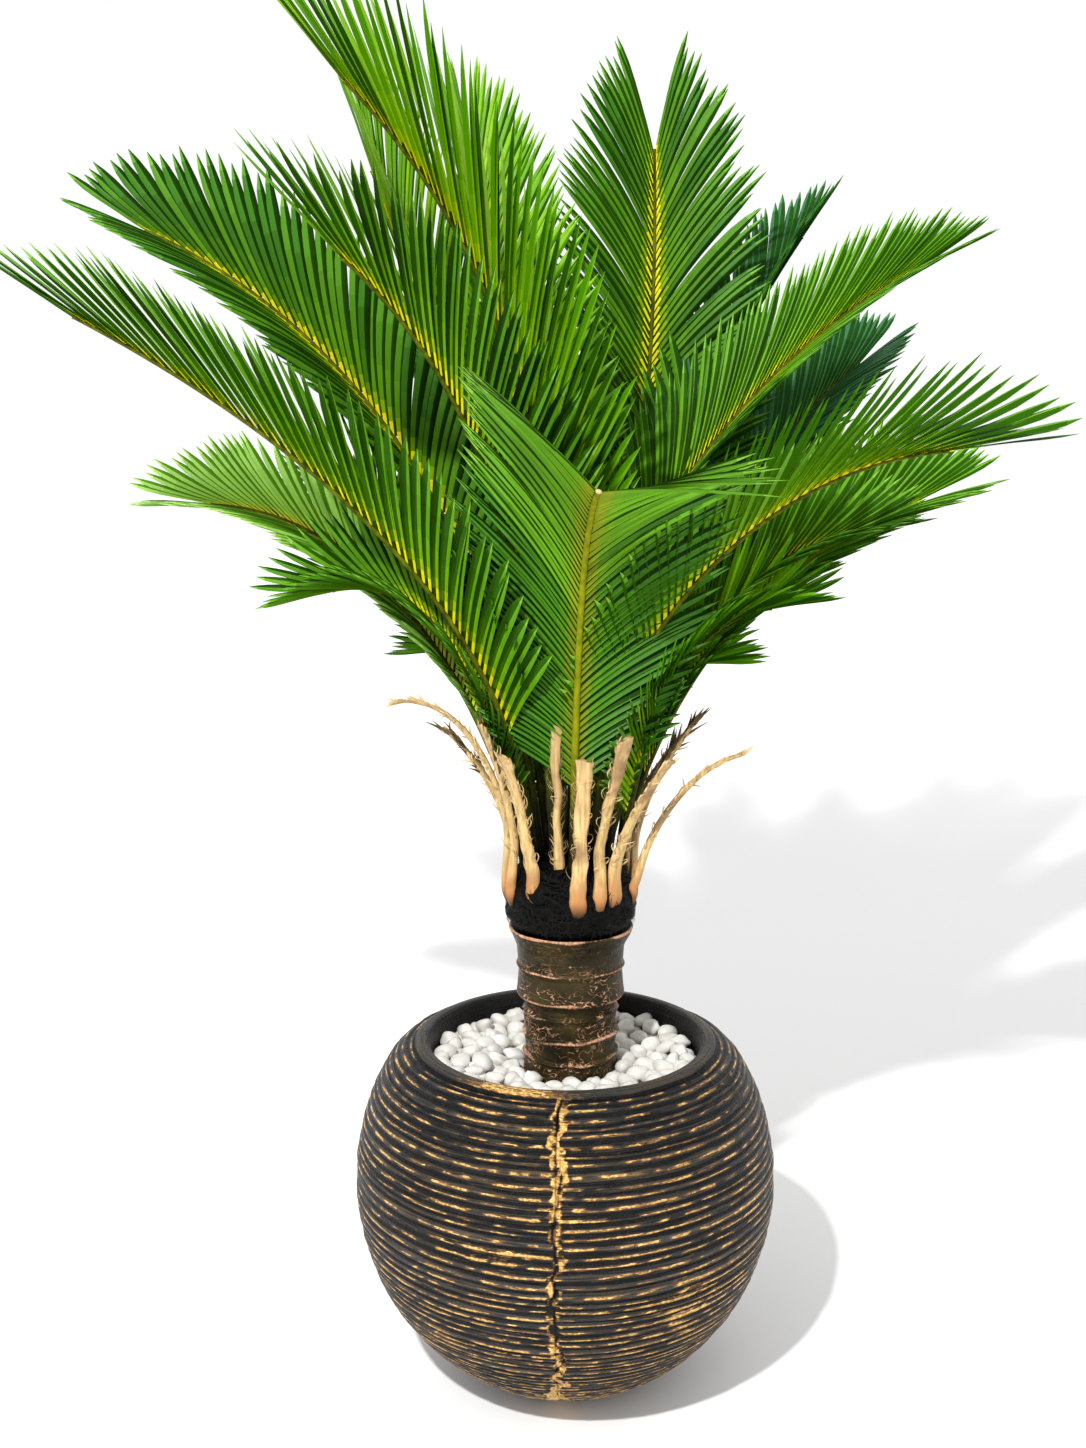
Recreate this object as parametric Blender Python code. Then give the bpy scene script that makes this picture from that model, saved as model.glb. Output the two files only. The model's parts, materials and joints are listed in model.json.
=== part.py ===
"""A potted sago palm: a round ribbed pot filled to white pebbles, a short ringed trunk, dead leaf stubs and
arching fronds. Lengths are millimetres here and are scaled to metres as each solid is made."""

import math
from collections import namedtuple

import bmesh
import bpy
import numpy as np
from mathutils.bvhtree import BVHTree

METRES = 0.001
GAP = 0.4
UP = np.array([0.0, 0.0, 1.0])

# Pot: part of an ellipsoid turned about the z axis, cut flat below, with a rounded rim.
POT_RADIUS = 210.0
POT_HALF_HEIGHT = 221.0
POT_WIDEST_Z = 206.0
POT_WALL = 14.0
POT_FLOOR_Z = 16.0
RIM_TOP_Z = 348.0
RIM_START_Z = 318.0
MOUTH_RADIUS = 134.0
MOUTH_LIP_Z = 306.0
MOUTH_UNDERCUT_Z = 296.0
POT_SIDES = 48

# Filling, and pebbles that rise from the trunk to the wall
SOIL_TOP_Z = 304.0
PEBBLES_AT_TRUNK_Z = 320.0
PEBBLES_AT_WALL_Z = 332.0

# Trunk: a lower shaft, an upper sleeve with a flared lip and a black fibrous collar.
TRUNK_X = 5.0
SHAFT_RADIUS = 47.0
SHAFT_TOP_Z = 392.0
SHAFT_RING_HEIGHTS = (334.0, 355.0, 378.0)
SLEEVE_RADIUS = 53.0
SLEEVE_LIP_RADIUS = 61.5
SLEEVE_TOP_Z = 463.0
COLLAR_RADIUS = 63.0
COLLAR_TOP_Z = 505.0
TRUNK_SIDES = 28

# Fronds
LEAFLET_LENGTH = 165.0
LEAFLET_PAIRS = 14
LEAFLET_THICKNESS = 1.9
LEAFLET_STEPS = 6
WIDE_STEP = 4
BARE_STALK = 0.22
STALK_STATIONS = 4
CURVE_PULL = 0.36
ANGLE_FROM_RIB = (62.0, 42.0, 30.0)
FORK_SHARE = 0.85
ANGLE_STOPS = (0.0, 0.5, 0.85, 1.0)
ANGLE_OF_V = (52.0, 28.0)
LENGTHS_ALONG_RIB = (0.6, 1.0, 1.0)
LENGTH_STOPS = (0.0, 0.35, 0.75, 1.0)
SHORTER_TRIES = (1.0, 0.85, 0.7, 0.55, 0.4, 0.25)

# leaf scales the length of a frond's leaflets and tip that of its last ones, which stand fork degrees off the rib.
Frond = namedtuple(
    "Frond",
    "name azimuth seat reach height leave arrive roll leaf tip fork rise spread",
    defaults=(0, 1.0, 0.7, 9, 1.0, 1.0),
)
# Azimuths, leave, arrive and roll are degrees; the photo is taken from azimuth 270.
FRONDS = (
    Frond("left_long", 204, 42, 445, 1028, 92, 27, roll=-10, leaf=0.95, tip=0.62, spread=0.85),
    Frond("left_upper", 176, 28, 396, 1122, 87, 24, roll=-60, leaf=0.92, tip=0.6),
    Frond("front_left", 229, 22, 280, 1070, 86, 30, roll=-22, tip=0.8, spread=0.85),
    Frond("top_left", 214, 10, 228, 1220, 91, 38, roll=-25, leaf=1.22, tip=0.66, spread=0.72),
    Frond("top_back", 64, 14, 195, 1218, 66, 95, roll=25, fork=14, rise=0.5, spread=1.2),
    Frond("right_upper", 18, 28, 362, 1098, 106, 26, roll=45, leaf=0.85, spread=0.62),
    Frond("right_long", 318, 42, 385, 922, 106, 4, roll=30, leaf=0.82, tip=0.88, spread=0.8),
    Frond("front_centre", 274, 34, 240, 890, 92, 12, roll=-20, leaf=1.05, tip=0.95, fork=52, rise=0.3, spread=1.1),
    Frond("left_low", 168, 42, 360, 868, 80, 2, roll=-55, leaf=0.68, tip=0.8),
    Frond("right_lower", 2, 42, 325, 872, 80, 18, roll=55, leaf=0.8),
    Frond("right_mid", 350, 29, 255, 845, 78, 14, roll=55, leaf=0.7),
    Frond("left_lower", 188, 42, 222, 794, 78, -10, roll=-55, leaf=0.66),
    Frond("back_left_tall", 146, 26, 235, 1190, 86, 66, leaf=1.15, tip=0.8, spread=0.75),
    Frond("back_right_tall", 44, 30, 340, 1140, 84, 45, leaf=0.85, spread=0.7),
    Frond("back_top", 126, 16, 165, 1200, 86, 75, leaf=0.95),
    Frond("back_right", 36, 42, 380, 1010, 80, 32, roll=40, leaf=0.75),
    Frond("right_low", 340, 42, 190, 780, 76, 12, roll=50, leaf=0.65),
    Frond("left_lowest", 152, 44, 135, 725, 76, -5, roll=-50, leaf=0.6),
    Frond("back_right_low", 20, 46, 130, 715, 76, 0, roll=50, leaf=0.65),
    Frond("back_centre", 88, 28, 330, 1010, 82, 35),
    Frond("back_left", 118, 40, 340, 1030, 84, 35),
    Frond("back_low_right", 60, 44, 360, 860, 76, 10, leaf=0.9),
    Frond("back_low_centre", 96, 44, 370, 870, 76, 10, leaf=0.9),
    Frond("back_low_left", 135, 44, 360, 850, 76, 10, leaf=0.9),
)

Stub = namedtuple("Stub", "name azimuth seat reach height leave arrive foot top")
STUBS = (
    Stub("stub_left_thin", 184, 55, 168, 686, 90, -5, 15, 4),
    Stub("stub_left_mid", 203, 55, 94, 669, 88, 65, 14, 8),
    Stub("stub_front_left", 224, 55, 89, 643, 86, 65, 20, 13),
    Stub("stub_centre", 250, 36, 44, 672, 88, 86, 13, 10),
    Stub("stub_front", 279, 56, 66, 640, 91, 84, 20, 14),
    Stub("stub_front_right", 300, 48, 97, 664, 88, 70, 16, 12),
    Stub("stub_right_wide", 317, 56, 124, 644, 88, 50, 19, 10),
    Stub("stub_right_long", 344, 58, 168, 642, 68, 18, 15, 5),
    Stub("stub_right_back", 10, 56, 124, 662, 84, 50, 13, 7),
    Stub("stub_back_right", 28, 56, 130, 640, 84, 40, 14, 7),
    Stub("stub_back_far_right", 70, 56, 110, 650, 86, 60, 15, 8),
    Stub("stub_back", 103, 56, 140, 630, 84, 35, 14, 6),
    Stub("stub_back_far_left", 121, 56, 140, 650, 84, 40, 15, 8),
    Stub("stub_back_left", 160, 56, 135, 650, 86, 35, 14, 6),
)


def clear_scene():
    for obj in list(bpy.data.objects):
        bpy.data.objects.remove(obj, do_unlink=True)


def material(name, colour, roughness):
    made = bpy.data.materials.get(name)
    if made is None:
        made = bpy.data.materials.new(name)
        made.use_nodes = True
        shader = made.node_tree.nodes["Principled BSDF"]
        shader.inputs["Base Color"].default_value = (*colour, 1.0)
        shader.inputs["Roughness"].default_value = roughness
    return made


def triangles_of(faces):
    """Each face as a fan of triangles, so that a bent quad is split the same way everywhere."""
    return [(face[0], face[i], face[i + 1]) for face in faces for i in range(1, len(face) - 1)]


def add_solid(name, points, faces, look, smooth=True):
    """Makes one object from points in millimetres and turns all its faces outwards."""
    mesh = bpy.data.meshes.new(name)
    mesh.from_pydata([tuple(point) for point in np.asarray(points) * METRES], [], triangles_of(faces))
    edit = bmesh.new()
    edit.from_mesh(mesh)
    bmesh.ops.recalc_face_normals(edit, faces=edit.faces)
    edit.to_mesh(mesh)
    edit.free()
    mesh.materials.append(look)
    for polygon in mesh.polygons:
        polygon.use_smooth = smooth
    obj = bpy.data.objects.new(name, mesh)
    bpy.context.scene.collection.objects.link(obj)
    return obj


def turned(profile, sides, centre_x=0.0):
    """Points and faces of a closed profile of (radius, z) pairs turned about a vertical axis at centre_x.
    A pair with radius 0 is one point on the axis."""
    points = []
    rings = []
    for radius, z in profile:
        if radius == 0:
            rings.append([len(points)] * sides)
            points.append((centre_x, 0.0, z))
            continue
        rings.append(list(range(len(points), len(points) + sides)))
        for side in range(sides):
            angle = 2 * math.pi * side / sides
            points.append((centre_x + radius * math.cos(angle), radius * math.sin(angle), z))
    faces = []
    for lower, upper in zip(rings, rings[1:] + rings[:1]):
        for side in range(sides):
            after = (side + 1) % sides
            corners = [lower[side], lower[after], upper[after], upper[side]]
            kept = list(dict.fromkeys(corners))
            if len(kept) > 2:
                faces.append(kept)
    return points, faces


def ellipse_radius(z, radius, half_height):
    return radius * math.sqrt(1 - ((z - POT_WIDEST_Z) / half_height) ** 2)


def ellipse_profile(bottom_z, top_z, radius, half_height, count):
    """Points of the pot's ellipse from bottom to top, evenly spaced in angle."""
    low = math.asin((bottom_z - POT_WIDEST_Z) / half_height)
    high = math.asin((top_z - POT_WIDEST_Z) / half_height)
    profile = []
    for step in range(count):
        angle = low + (high - low) * step / (count - 1)
        profile.append((radius * math.cos(angle), POT_WIDEST_Z + half_height * math.sin(angle)))
    return profile


def rim_profile():
    """The rounded rim, from the outside over the top to the edge of the mouth."""
    outer = ellipse_radius(RIM_START_Z, POT_RADIUS, POT_HALF_HEIGHT)
    width = outer - MOUTH_RADIUS
    drop = RIM_TOP_Z - RIM_START_Z
    profile = []
    for share, rise in ((0.86, 0.3), (0.6, 0.72), (0.3, 0.96), (0.12, 1.0), (0.01, 0.85)):
        profile.append((MOUTH_RADIUS + width * share, RIM_START_Z + drop * rise))
    return profile


def build_pot():
    outer = ellipse_profile(0.0, RIM_START_Z, POT_RADIUS, POT_HALF_HEIGHT, 14)
    lip = [(MOUTH_RADIUS, MOUTH_LIP_Z)]
    inner = ellipse_profile(
        POT_FLOOR_Z, MOUTH_UNDERCUT_Z, POT_RADIUS - POT_WALL, POT_HALF_HEIGHT - POT_WALL, 8
    )
    profile = [(0, 0.0)] + outer + rim_profile() + lip + inner[::-1] + [(0, POT_FLOOR_Z)]
    points, faces = turned(profile, POT_SIDES)
    add_solid("pot", points, faces, material("pot_charcoal", (0.035, 0.037, 0.045), 0.5))


def build_soil():
    inset = POT_WALL + 2 * GAP
    sides = ellipse_profile(
        POT_FLOOR_Z + GAP,
        MOUTH_UNDERCUT_Z - 2 * GAP,
        POT_RADIUS - inset,
        POT_HALF_HEIGHT - inset,
        8,
    )
    top = MOUTH_RADIUS - GAP
    profile = [(0, POT_FLOOR_Z + GAP)] + sides + [(top, SOIL_TOP_Z), (0, SOIL_TOP_Z)]
    points, faces = turned(profile, POT_SIDES)
    add_solid("soil", points, faces, material("soil_brown", (0.06, 0.045, 0.03), 0.95))


def build_pebble_bed():
    """A ring of pebbles round the trunk, as one body with a lightly uneven top."""
    bottom = SOIL_TOP_Z + GAP
    hole = SHAFT_RADIUS + GAP
    outer = MOUTH_RADIUS - GAP
    rows = 6
    sides = 36
    chance = np.random.default_rng(5)
    points = []
    rings = []

    def ring(share, z, bumps):
        rings.append(list(range(len(points), len(points) + sides)))
        for side in range(sides):
            angle = 2 * math.pi * side / sides
            inner_point = np.array([TRUNK_X + hole * math.cos(angle), hole * math.sin(angle)])
            outer_point = np.array([outer * math.cos(angle), outer * math.sin(angle)])
            flat = inner_point + (outer_point - inner_point) * share
            points.append((flat[0], flat[1], z + bumps * chance.uniform(-1, 1)))

    ring(0.0, bottom, 0.0)
    for row in range(rows):
        share = row / (rows - 1)
        ring(share, PEBBLES_AT_TRUNK_Z + (PEBBLES_AT_WALL_Z - PEBBLES_AT_TRUNK_Z) * share, 2.0)
    ring(1.0, bottom, 0.0)
    faces = []
    for lower, upper in zip(rings, rings[1:] + rings[:1]):
        for side in range(sides):
            after = (side + 1) % sides
            faces.append((lower[side], lower[after], upper[after], upper[side]))
    look = material("pebble_white", (0.82, 0.8, 0.76), 0.6)
    add_solid("pebble_bed", points, faces, look)


def build_trunk():
    bark = material("trunk_bark", (0.13, 0.1, 0.075), 0.7)
    start = SOIL_TOP_Z + GAP
    shaft = [(0, start), (SHAFT_RADIUS - 1.5, start)]
    for height in SHAFT_RING_HEIGHTS:
        shaft += [(SHAFT_RADIUS - 1.5, height - 3), (SHAFT_RADIUS, height), (SHAFT_RADIUS - 2.5, height + 4)]
    shaft += [(SHAFT_RADIUS - 1.5, SHAFT_TOP_Z), (0, SHAFT_TOP_Z)]
    points, faces = turned(shaft, TRUNK_SIDES, TRUNK_X)
    add_solid("trunk_shaft", points, faces, bark)

    start = SHAFT_TOP_Z + GAP
    middle = (start + SLEEVE_TOP_Z) / 2
    sleeve = [
        (0, start),
        (SLEEVE_RADIUS - 2, start),
        (SLEEVE_RADIUS, start + 5),
        (SLEEVE_RADIUS - 2, middle - 2),
        (SLEEVE_RADIUS, middle + 2),
        (SLEEVE_RADIUS + 1, SLEEVE_TOP_Z - 14),
        (SLEEVE_LIP_RADIUS, SLEEVE_TOP_Z - 5),
        (SLEEVE_LIP_RADIUS - 1, SLEEVE_TOP_Z),
        (0, SLEEVE_TOP_Z),
    ]
    points, faces = turned(sleeve, TRUNK_SIDES, TRUNK_X)
    add_solid("trunk_sleeve", points, faces, bark)

    start = SLEEVE_TOP_Z + GAP
    collar = [
        (0, start),
        (COLLAR_RADIUS - 8, start),
        (COLLAR_RADIUS - 1, start + 8),
        (COLLAR_RADIUS, start + 18),
        (COLLAR_RADIUS, COLLAR_TOP_Z - 12),
        (COLLAR_RADIUS - 1, COLLAR_TOP_Z),
        (0, COLLAR_TOP_Z),
    ]
    points, faces = turned(collar, TRUNK_SIDES, TRUNK_X)
    add_solid("trunk_collar", points, faces, material("collar_fibre", (0.012, 0.011, 0.01), 0.9))


def unit(vectors):
    return vectors / np.linalg.norm(vectors, axis=-1, keepdims=True)


def arch(shape, shares):
    """Points, forward, upper-face and side directions at shares (0 to 1) of the length of a frond's or a
    stub's midline: a cubic curve in the upright plane of its azimuth, through the trunk's axis."""
    azimuth, leave, arrive = np.radians([shape.azimuth, shape.leave, shape.arrive])
    start = np.array([shape.seat, COLLAR_TOP_Z + GAP])
    end = np.array([shape.reach, shape.height])
    pull = CURVE_PULL * np.linalg.norm(end - start)
    first = start + pull * np.array([math.cos(leave), math.sin(leave)])
    second = end - pull * np.array([math.cos(arrive), math.sin(arrive)])
    fine = np.linspace(0, 1, 121)[:, None]
    curve = (
        (1 - fine) ** 3 * start
        + 3 * (1 - fine) ** 2 * fine * first
        + 3 * (1 - fine) * fine**2 * second
        + fine**3 * end
    )
    travelled = np.concatenate([[0], np.cumsum(np.linalg.norm(np.diff(curve, axis=0), axis=1))])
    slope = np.gradient(curve, axis=0)
    wanted = np.asarray(shares, float) * travelled[-1]
    reach = np.interp(wanted, travelled, curve[:, 0])
    height = np.interp(wanted, travelled, curve[:, 1])
    run = np.interp(wanted, travelled, slope[:, 0])
    climb = np.interp(wanted, travelled, slope[:, 1])
    outward = np.array([math.cos(azimuth), math.sin(azimuth), 0.0])
    points = reach[:, None] * outward + height[:, None] * UP + np.array([TRUNK_X, 0.0, 0.0])
    forward = unit(run[:, None] * outward + climb[:, None] * UP)
    side = np.tile(np.cross(outward, UP), (len(points), 1))
    face = np.cross(side, forward)
    return points, forward, face, side, travelled[-1]


def frond_frames(frond, shares):
    """The midline with its frame turned about the rib by the frond's roll, full from halfway along."""
    points, forward, face, side, length = arch(frond, shares)
    roll = np.radians(frond.roll) * np.clip(np.asarray(shares) * 1.6, 0, 1)
    turn, lean = np.cos(roll)[:, None], np.sin(roll)[:, None]
    return points, forward, turn * face + lean * side, turn * side - lean * face, length


def along_leaves(shares):
    return (np.asarray(shares) - BARE_STALK) / (1 - BARE_STALK)


def leaflet_angles(frond, shares):
    """Angle in radians between each leaflet and the rib."""
    first, middle, last = ANGLE_FROM_RIB
    angles = (first, middle, max(last, FORK_SHARE * frond.fork), frond.fork)
    return np.radians(np.interp(along_leaves(shares), ANGLE_STOPS, angles)) * frond.spread


def leaflet_paths(frond, shares, hand):
    """Midlines of the leaflets that leave the rib at these shares, hand -1 or 1 being the side. Each leaves
    the rib forwards, rises from it as one arm of a V and bends outwards and down towards its tip."""
    points, forward, face, side, _ = frond_frames(frond, shares)
    angle = leaflet_angles(frond, shares)[:, None]
    along = along_leaves(shares)
    lengths = (*LENGTHS_ALONG_RIB, frond.tip)
    length = np.interp(along, LENGTH_STOPS, lengths) * LEAFLET_LENGTH * frond.leaf
    path = [points]
    for step in range(LEAFLET_STEPS):
        share = (step + 0.5) / LEAFLET_STEPS
        rise = math.radians((ANGLE_OF_V[0] + (ANGLE_OF_V[1] - ANGLE_OF_V[0]) * share) * frond.rise)
        bend = angle * (0.75 + 0.4 * share)
        across = math.cos(rise) * hand * side + math.sin(rise) * face
        heading = np.cos(bend) * forward + np.sin(bend) * across
        path.append(path[-1] + heading * (length / LEAFLET_STEPS)[:, None])
    return np.stack(path, axis=1)


def rib_ring(point, face, side, width, thickness):
    """Four corners of the rib: upper and lower on the -1 side, then lower and upper on the +1 side."""
    across, deep = side * width / 2, face * thickness / 2
    return [point - across + deep, point - across - deep, point + across - deep, point + across + deep]


def cut_level(ring, forward, z):
    """Slides a ring's corners along the rib until all stand at the height z."""
    return [corner + forward * (z - corner[2]) / forward[2] for corner in ring]


def blade(root, path, forward, half_width, thickness, scale):
    """The corners of one leaflet where its blade starts to narrow, and its tip."""
    centre = path[0] + (path[WIDE_STEP] - path[0]) * scale
    tip = path[0] + (path[-1] - path[0]) * scale
    heading = unit(tip - centre)
    wide = unit(forward - heading * (forward @ heading))
    thick = np.cross(heading, wide)
    if thick @ (root[0] - root[3]) < 0:
        thick = -thick
    across, deep = wide * half_width, thick * thickness / 2
    return [centre - across + deep, centre + across + deep, centre + across - deep, centre - across - deep, tip]


BLADE_SIDES = ((0, 1, 5, 4), (1, 2, 6, 5), (2, 3, 7, 6), (3, 0, 4, 7))
BLADE_TIP = ((4, 5, 8), (5, 6, 8), (6, 7, 8), (7, 4, 8))


def tree_of(solids):
    points = []
    faces = []
    for solid_points, solid_faces in solids:
        shift = len(points)
        points += [tuple(point) for point in solid_points]
        faces += [tuple(index + shift for index in face) for face in triangles_of(solid_faces)]
    return BVHTree.FromPolygons(points, faces)


class FrondSolid:
    """One frond being built: a rib with its stalk, then the leaflets that clear everything else."""

    def __init__(self, frond):
        self.frond = frond
        leafy = BARE_STALK + (1 - BARE_STALK) * np.arange(LEAFLET_PAIRS + 1) / LEAFLET_PAIRS
        self.shares = np.concatenate([np.linspace(0, BARE_STALK, STALK_STATIONS)[:-1], leafy])
        points, forward, face, side, length = frond_frames(frond, self.shares)
        self.forward = forward
        self.pitch = length * (1 - BARE_STALK) / LEAFLET_PAIRS
        widths = np.interp(self.shares, [0, 0.08, BARE_STALK, 1], [10.5, 9, 7, 3])
        depths = np.interp(self.shares, [0, 0.08, BARE_STALK, 1], [8, 7, 5, 2.5])
        self.points = []
        for place, ahead, up, across, width, depth in zip(points, forward, face, side, widths, depths):
            self.points += rib_ring(place, up, across, width, depth)
        self.points[:4] = cut_level(self.points[:4], forward[0], COLLAR_TOP_Z + GAP)
        self.faces = [(0, 1, 2, 3)]
        self.close_rib()
        self.sockets = self.leaflet_sockets()

    def close_rib(self):
        """Upper and lower faces along the rib, side faces of the bare stalk and a pointed end leaflet."""
        last = len(self.shares) - 1
        for station in range(last):
            here, after = 4 * station, 4 * station + 4
            self.faces.append((here + 3, here, after, after + 3))
            self.faces.append((here + 1, here + 2, after + 2, after + 1))
            if station < STALK_STATIONS - 1:
                self.faces.append((here, here + 1, after + 1, after))
                self.faces.append((here + 2, here + 3, after + 3, after + 2))
        end = np.mean(self.points[-4:], axis=0)
        length = LEAFLET_LENGTH * self.frond.tip * self.frond.leaf * max(0.1, 1 - self.frond.fork / 30)
        tip = len(self.points)
        self.points.append(end + self.forward[-1] * length)
        for index in range(4):
            self.faces.append((4 * last + index, 4 * last + (index + 1) % 4, tip))

    def obstacle(self):
        """The frond as it stands, with the sides that still wait for leaflets closed flat."""
        return self.points, self.faces + [root for _, _, root in self.sockets]

    def leaflet_sockets(self):
        """For each leaflet: its side, the share of the rib's length it starts at and its root quad."""
        found = []
        for station in range(STALK_STATIONS - 1, len(self.shares) - 1):
            here, after = 4 * station, 4 * station + 4
            middle = (self.shares[station] + self.shares[station + 1]) / 2
            found.append((-1, middle, (here, after, after + 1, here + 1)))
            found.append((1, middle, (here + 3, after + 3, after + 2, here + 2)))
        return found

    def add_leaflets(self, obstacles):
        for hand in (-1, 1):
            chosen = [socket for socket in self.sockets if socket[0] == hand]
            shares = np.array([socket[1] for socket in chosen])
            paths = leaflet_paths(self.frond, shares, hand)
            forward = frond_frames(self.frond, shares)[1]
            spacing = self.pitch * np.sin(leaflet_angles(self.frond, shares))
            half_widths = np.maximum(0.42 * spacing, 2.5)
            for (_, _, root), path, ahead, half_width in zip(chosen, paths, forward, half_widths):
                self.add_leaflet(root, path, ahead, half_width, obstacles)
        self.sockets = []

    def add_leaflet(self, root, path, forward, half_width, obstacles):
        quad = [self.points[index] for index in root]
        for scale in SHORTER_TRIES:
            made = blade(quad, path, forward, half_width, LEAFLET_THICKNESS, scale)
            grown = blade(quad, path, forward, half_width + 1, LEAFLET_THICKNESS + 1, scale * 1.02)
            if not obstacles.overlap(tree_of([(quad + grown, BLADE_SIDES + BLADE_TIP)])):
                start = len(self.points)
                self.points += made
                labels = list(root) + list(range(start, start + 5))
                for face in BLADE_SIDES + BLADE_TIP:
                    self.faces.append(tuple(labels[index] for index in face))
                return
        self.faces.append(root)


def stub_solid(stub):
    """A dead leaf base: a flat tapered strip, widest at its foot, with a slanting cut end."""
    shares = np.array([0, 0.06, 0.2, 0.4, 0.6, 0.8, 1.0])
    points, forward, face, side, _ = arch(stub, shares)
    widths = np.interp(shares, [0, 0.2, 1], [stub.foot, stub.foot * 0.72, stub.top])
    depths = np.interp(shares, [0, 0.2, 1], [7.0, 5.0, 3.0])
    corners = []
    for place, up, across, width, depth in zip(points, face, side, widths, depths):
        corners += rib_ring(place, up, across, width, depth)
    corners[:4] = cut_level(corners[:4], forward[0], COLLAR_TOP_Z + GAP)
    last = 4 * (len(shares) - 1)
    for index in (2, 3):
        corners[last + index] = corners[last + index] - forward[-1] * stub.top * 0.5
    faces = [(0, 1, 2, 3), (last + 3, last + 2, last + 1, last)]
    for start in range(0, last, 4):
        for index in range(4):
            after = (index + 1) % 4
            faces.append((start + index, start + after, start + 4 + after, start + 4 + index))
    return corners, faces


def build_crown():
    """Stubs and ribs first, then each frond's leaflets in turn, shortened or left out where they would touch
    what is already there."""
    tan = material("stub_tan", (0.62, 0.45, 0.24), 0.75)
    green = material("frond_green", (0.11, 0.24, 0.035), 0.55)
    stubs = [stub_solid(stub) for stub in STUBS]
    for stub, (points, faces) in zip(STUBS, stubs):
        add_solid(stub.name, points, faces, tan)
    solids = [FrondSolid(frond) for frond in FRONDS]
    for solid in solids:
        others = [other.obstacle() for other in solids if other is not solid]
        solid.add_leaflets(tree_of(stubs + others))
    for solid in solids:
        add_solid("frond_" + solid.frond.name, solid.points, solid.faces, green, smooth=False)


def main():
    clear_scene()
    build_pot()
    build_soil()
    build_pebble_bed()
    build_trunk()
    build_crown()


main()
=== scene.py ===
"""Looks of a potted sago palm round its solids: a ribbed charcoal pot with rubbed gold, white pebbles, a
coppery trunk, dead leaf stubs and fronds of fine leaflets. Lengths are in millimetres and angles in degrees,
but for the camera, the lamp and the scales of materials, which are in metres."""

import json
import math
from collections import namedtuple

import bpy
import numpy as np
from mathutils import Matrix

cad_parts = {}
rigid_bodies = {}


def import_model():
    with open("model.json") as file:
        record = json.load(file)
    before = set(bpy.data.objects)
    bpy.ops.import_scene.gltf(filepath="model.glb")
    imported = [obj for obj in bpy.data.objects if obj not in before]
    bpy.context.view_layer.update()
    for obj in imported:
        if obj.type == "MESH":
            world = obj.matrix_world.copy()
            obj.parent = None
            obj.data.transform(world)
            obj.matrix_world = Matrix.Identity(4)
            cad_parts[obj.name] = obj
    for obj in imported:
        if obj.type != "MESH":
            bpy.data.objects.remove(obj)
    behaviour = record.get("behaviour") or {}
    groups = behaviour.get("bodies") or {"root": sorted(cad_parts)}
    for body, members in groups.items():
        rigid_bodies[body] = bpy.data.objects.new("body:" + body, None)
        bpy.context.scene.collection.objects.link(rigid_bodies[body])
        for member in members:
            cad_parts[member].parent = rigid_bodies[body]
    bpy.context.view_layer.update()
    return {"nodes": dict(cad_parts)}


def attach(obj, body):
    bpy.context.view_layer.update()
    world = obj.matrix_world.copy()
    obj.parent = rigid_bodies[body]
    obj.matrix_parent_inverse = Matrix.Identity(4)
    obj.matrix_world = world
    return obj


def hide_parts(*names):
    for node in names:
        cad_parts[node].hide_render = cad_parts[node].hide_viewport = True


METRES = 0.001
UP = np.array([0.0, 0.0, 1.0])

# Camera, from the photo's 1086 x 1448 pixels, with its place in metres
PHOTO_HEIGHT = 1448
FOCAL_PIXELS = 1600
SENSOR = 36.0
CAMERA_PLACE = (-0.0221, -1.517, 0.928)
CAMERA_PITCH_DOWN = 9.95

# Lamp: its place and radius in metres and the light it gives at any distance
KEY_PLACE = (-0.65, -1.65, 2.1)
KEY_RADIUS = 0.045
KEY_LIGHT = 1.0

# Floor: its rings and height in millimetres
FLOOR_RADII = (1.0, 400.0, 2000.0, 8000.0, 40000.0)
FLOOR_COLUMNS = 64
FLOOR_Z = -0.5

# Pot, as in its solid
POT_RADIUS = 210.0
POT_HALF_HEIGHT = 221.0
POT_WIDEST_Z = 206.0
POT_WALL = 14.0
POT_FLOOR_Z = 16.0
RIM_TOP_Z = 348.0
RIM_START_Z = 318.0
MOUTH_RADIUS = 134.0
MOUTH_UNDERCUT_Z = 296.0

# Ribs of the pot: heights along its outline, their depth and the seam where they end
POT_COLUMNS = 262
POT_ROWS = 334
INNER_ROWS = 10
RIB_PITCHES = (9.6, 6.6)
RIB_DEPTH = 2.8
RIBS_TOP_SHARE = 0.34
SEAM_AZIMUTH = 267.0
SEAM_HALF_WIDTH = 5.0
SEAM_COLUMNS = 29
SEAM_SHARE = 0.017

# Soft spots of the pot that have more gold rubbed on them, wide in degrees and tall in millimetres
Spot = namedtuple("Spot", "strength azimuth height wide tall")
WORN_BY_SEAM = Spot(0.06, 267, 200, 26, 200)
RUBBED_SPOTS = (
    Spot(0.36, 250, 216, 10, 13),
    Spot(0.3, 303, 150, 17, 44),
    Spot(0.16, 268, 262, 9, 30),
    Spot(0.14, 240, 120, 22, 60),
    Spot(0.3, 268, 18, 20, 26),
)
SEAM_SPOTS = (Spot(0.2, 267, 290, 40, 60), Spot(0.34, 267, 40, 40, 60))
RIM_SPOT = Spot(0.5, 250, 345, 22, 6)
SEAM_RUB = 0.3

# Filling and pebbles
PEBBLES_AT_TRUNK_Z = 323.0
PEBBLES_AT_WALL_Z = 335.0
PEBBLE_SPACING = 16.5
PEBBLE_RADII = ((9.4, 12.8), (7.6, 10.0), (6.4, 8.6))
PEBBLE_DEPTHS = (7.5, 15.0)
PEBBLE_TRIES = 9000
PEBBLE_CELLS = 5

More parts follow.
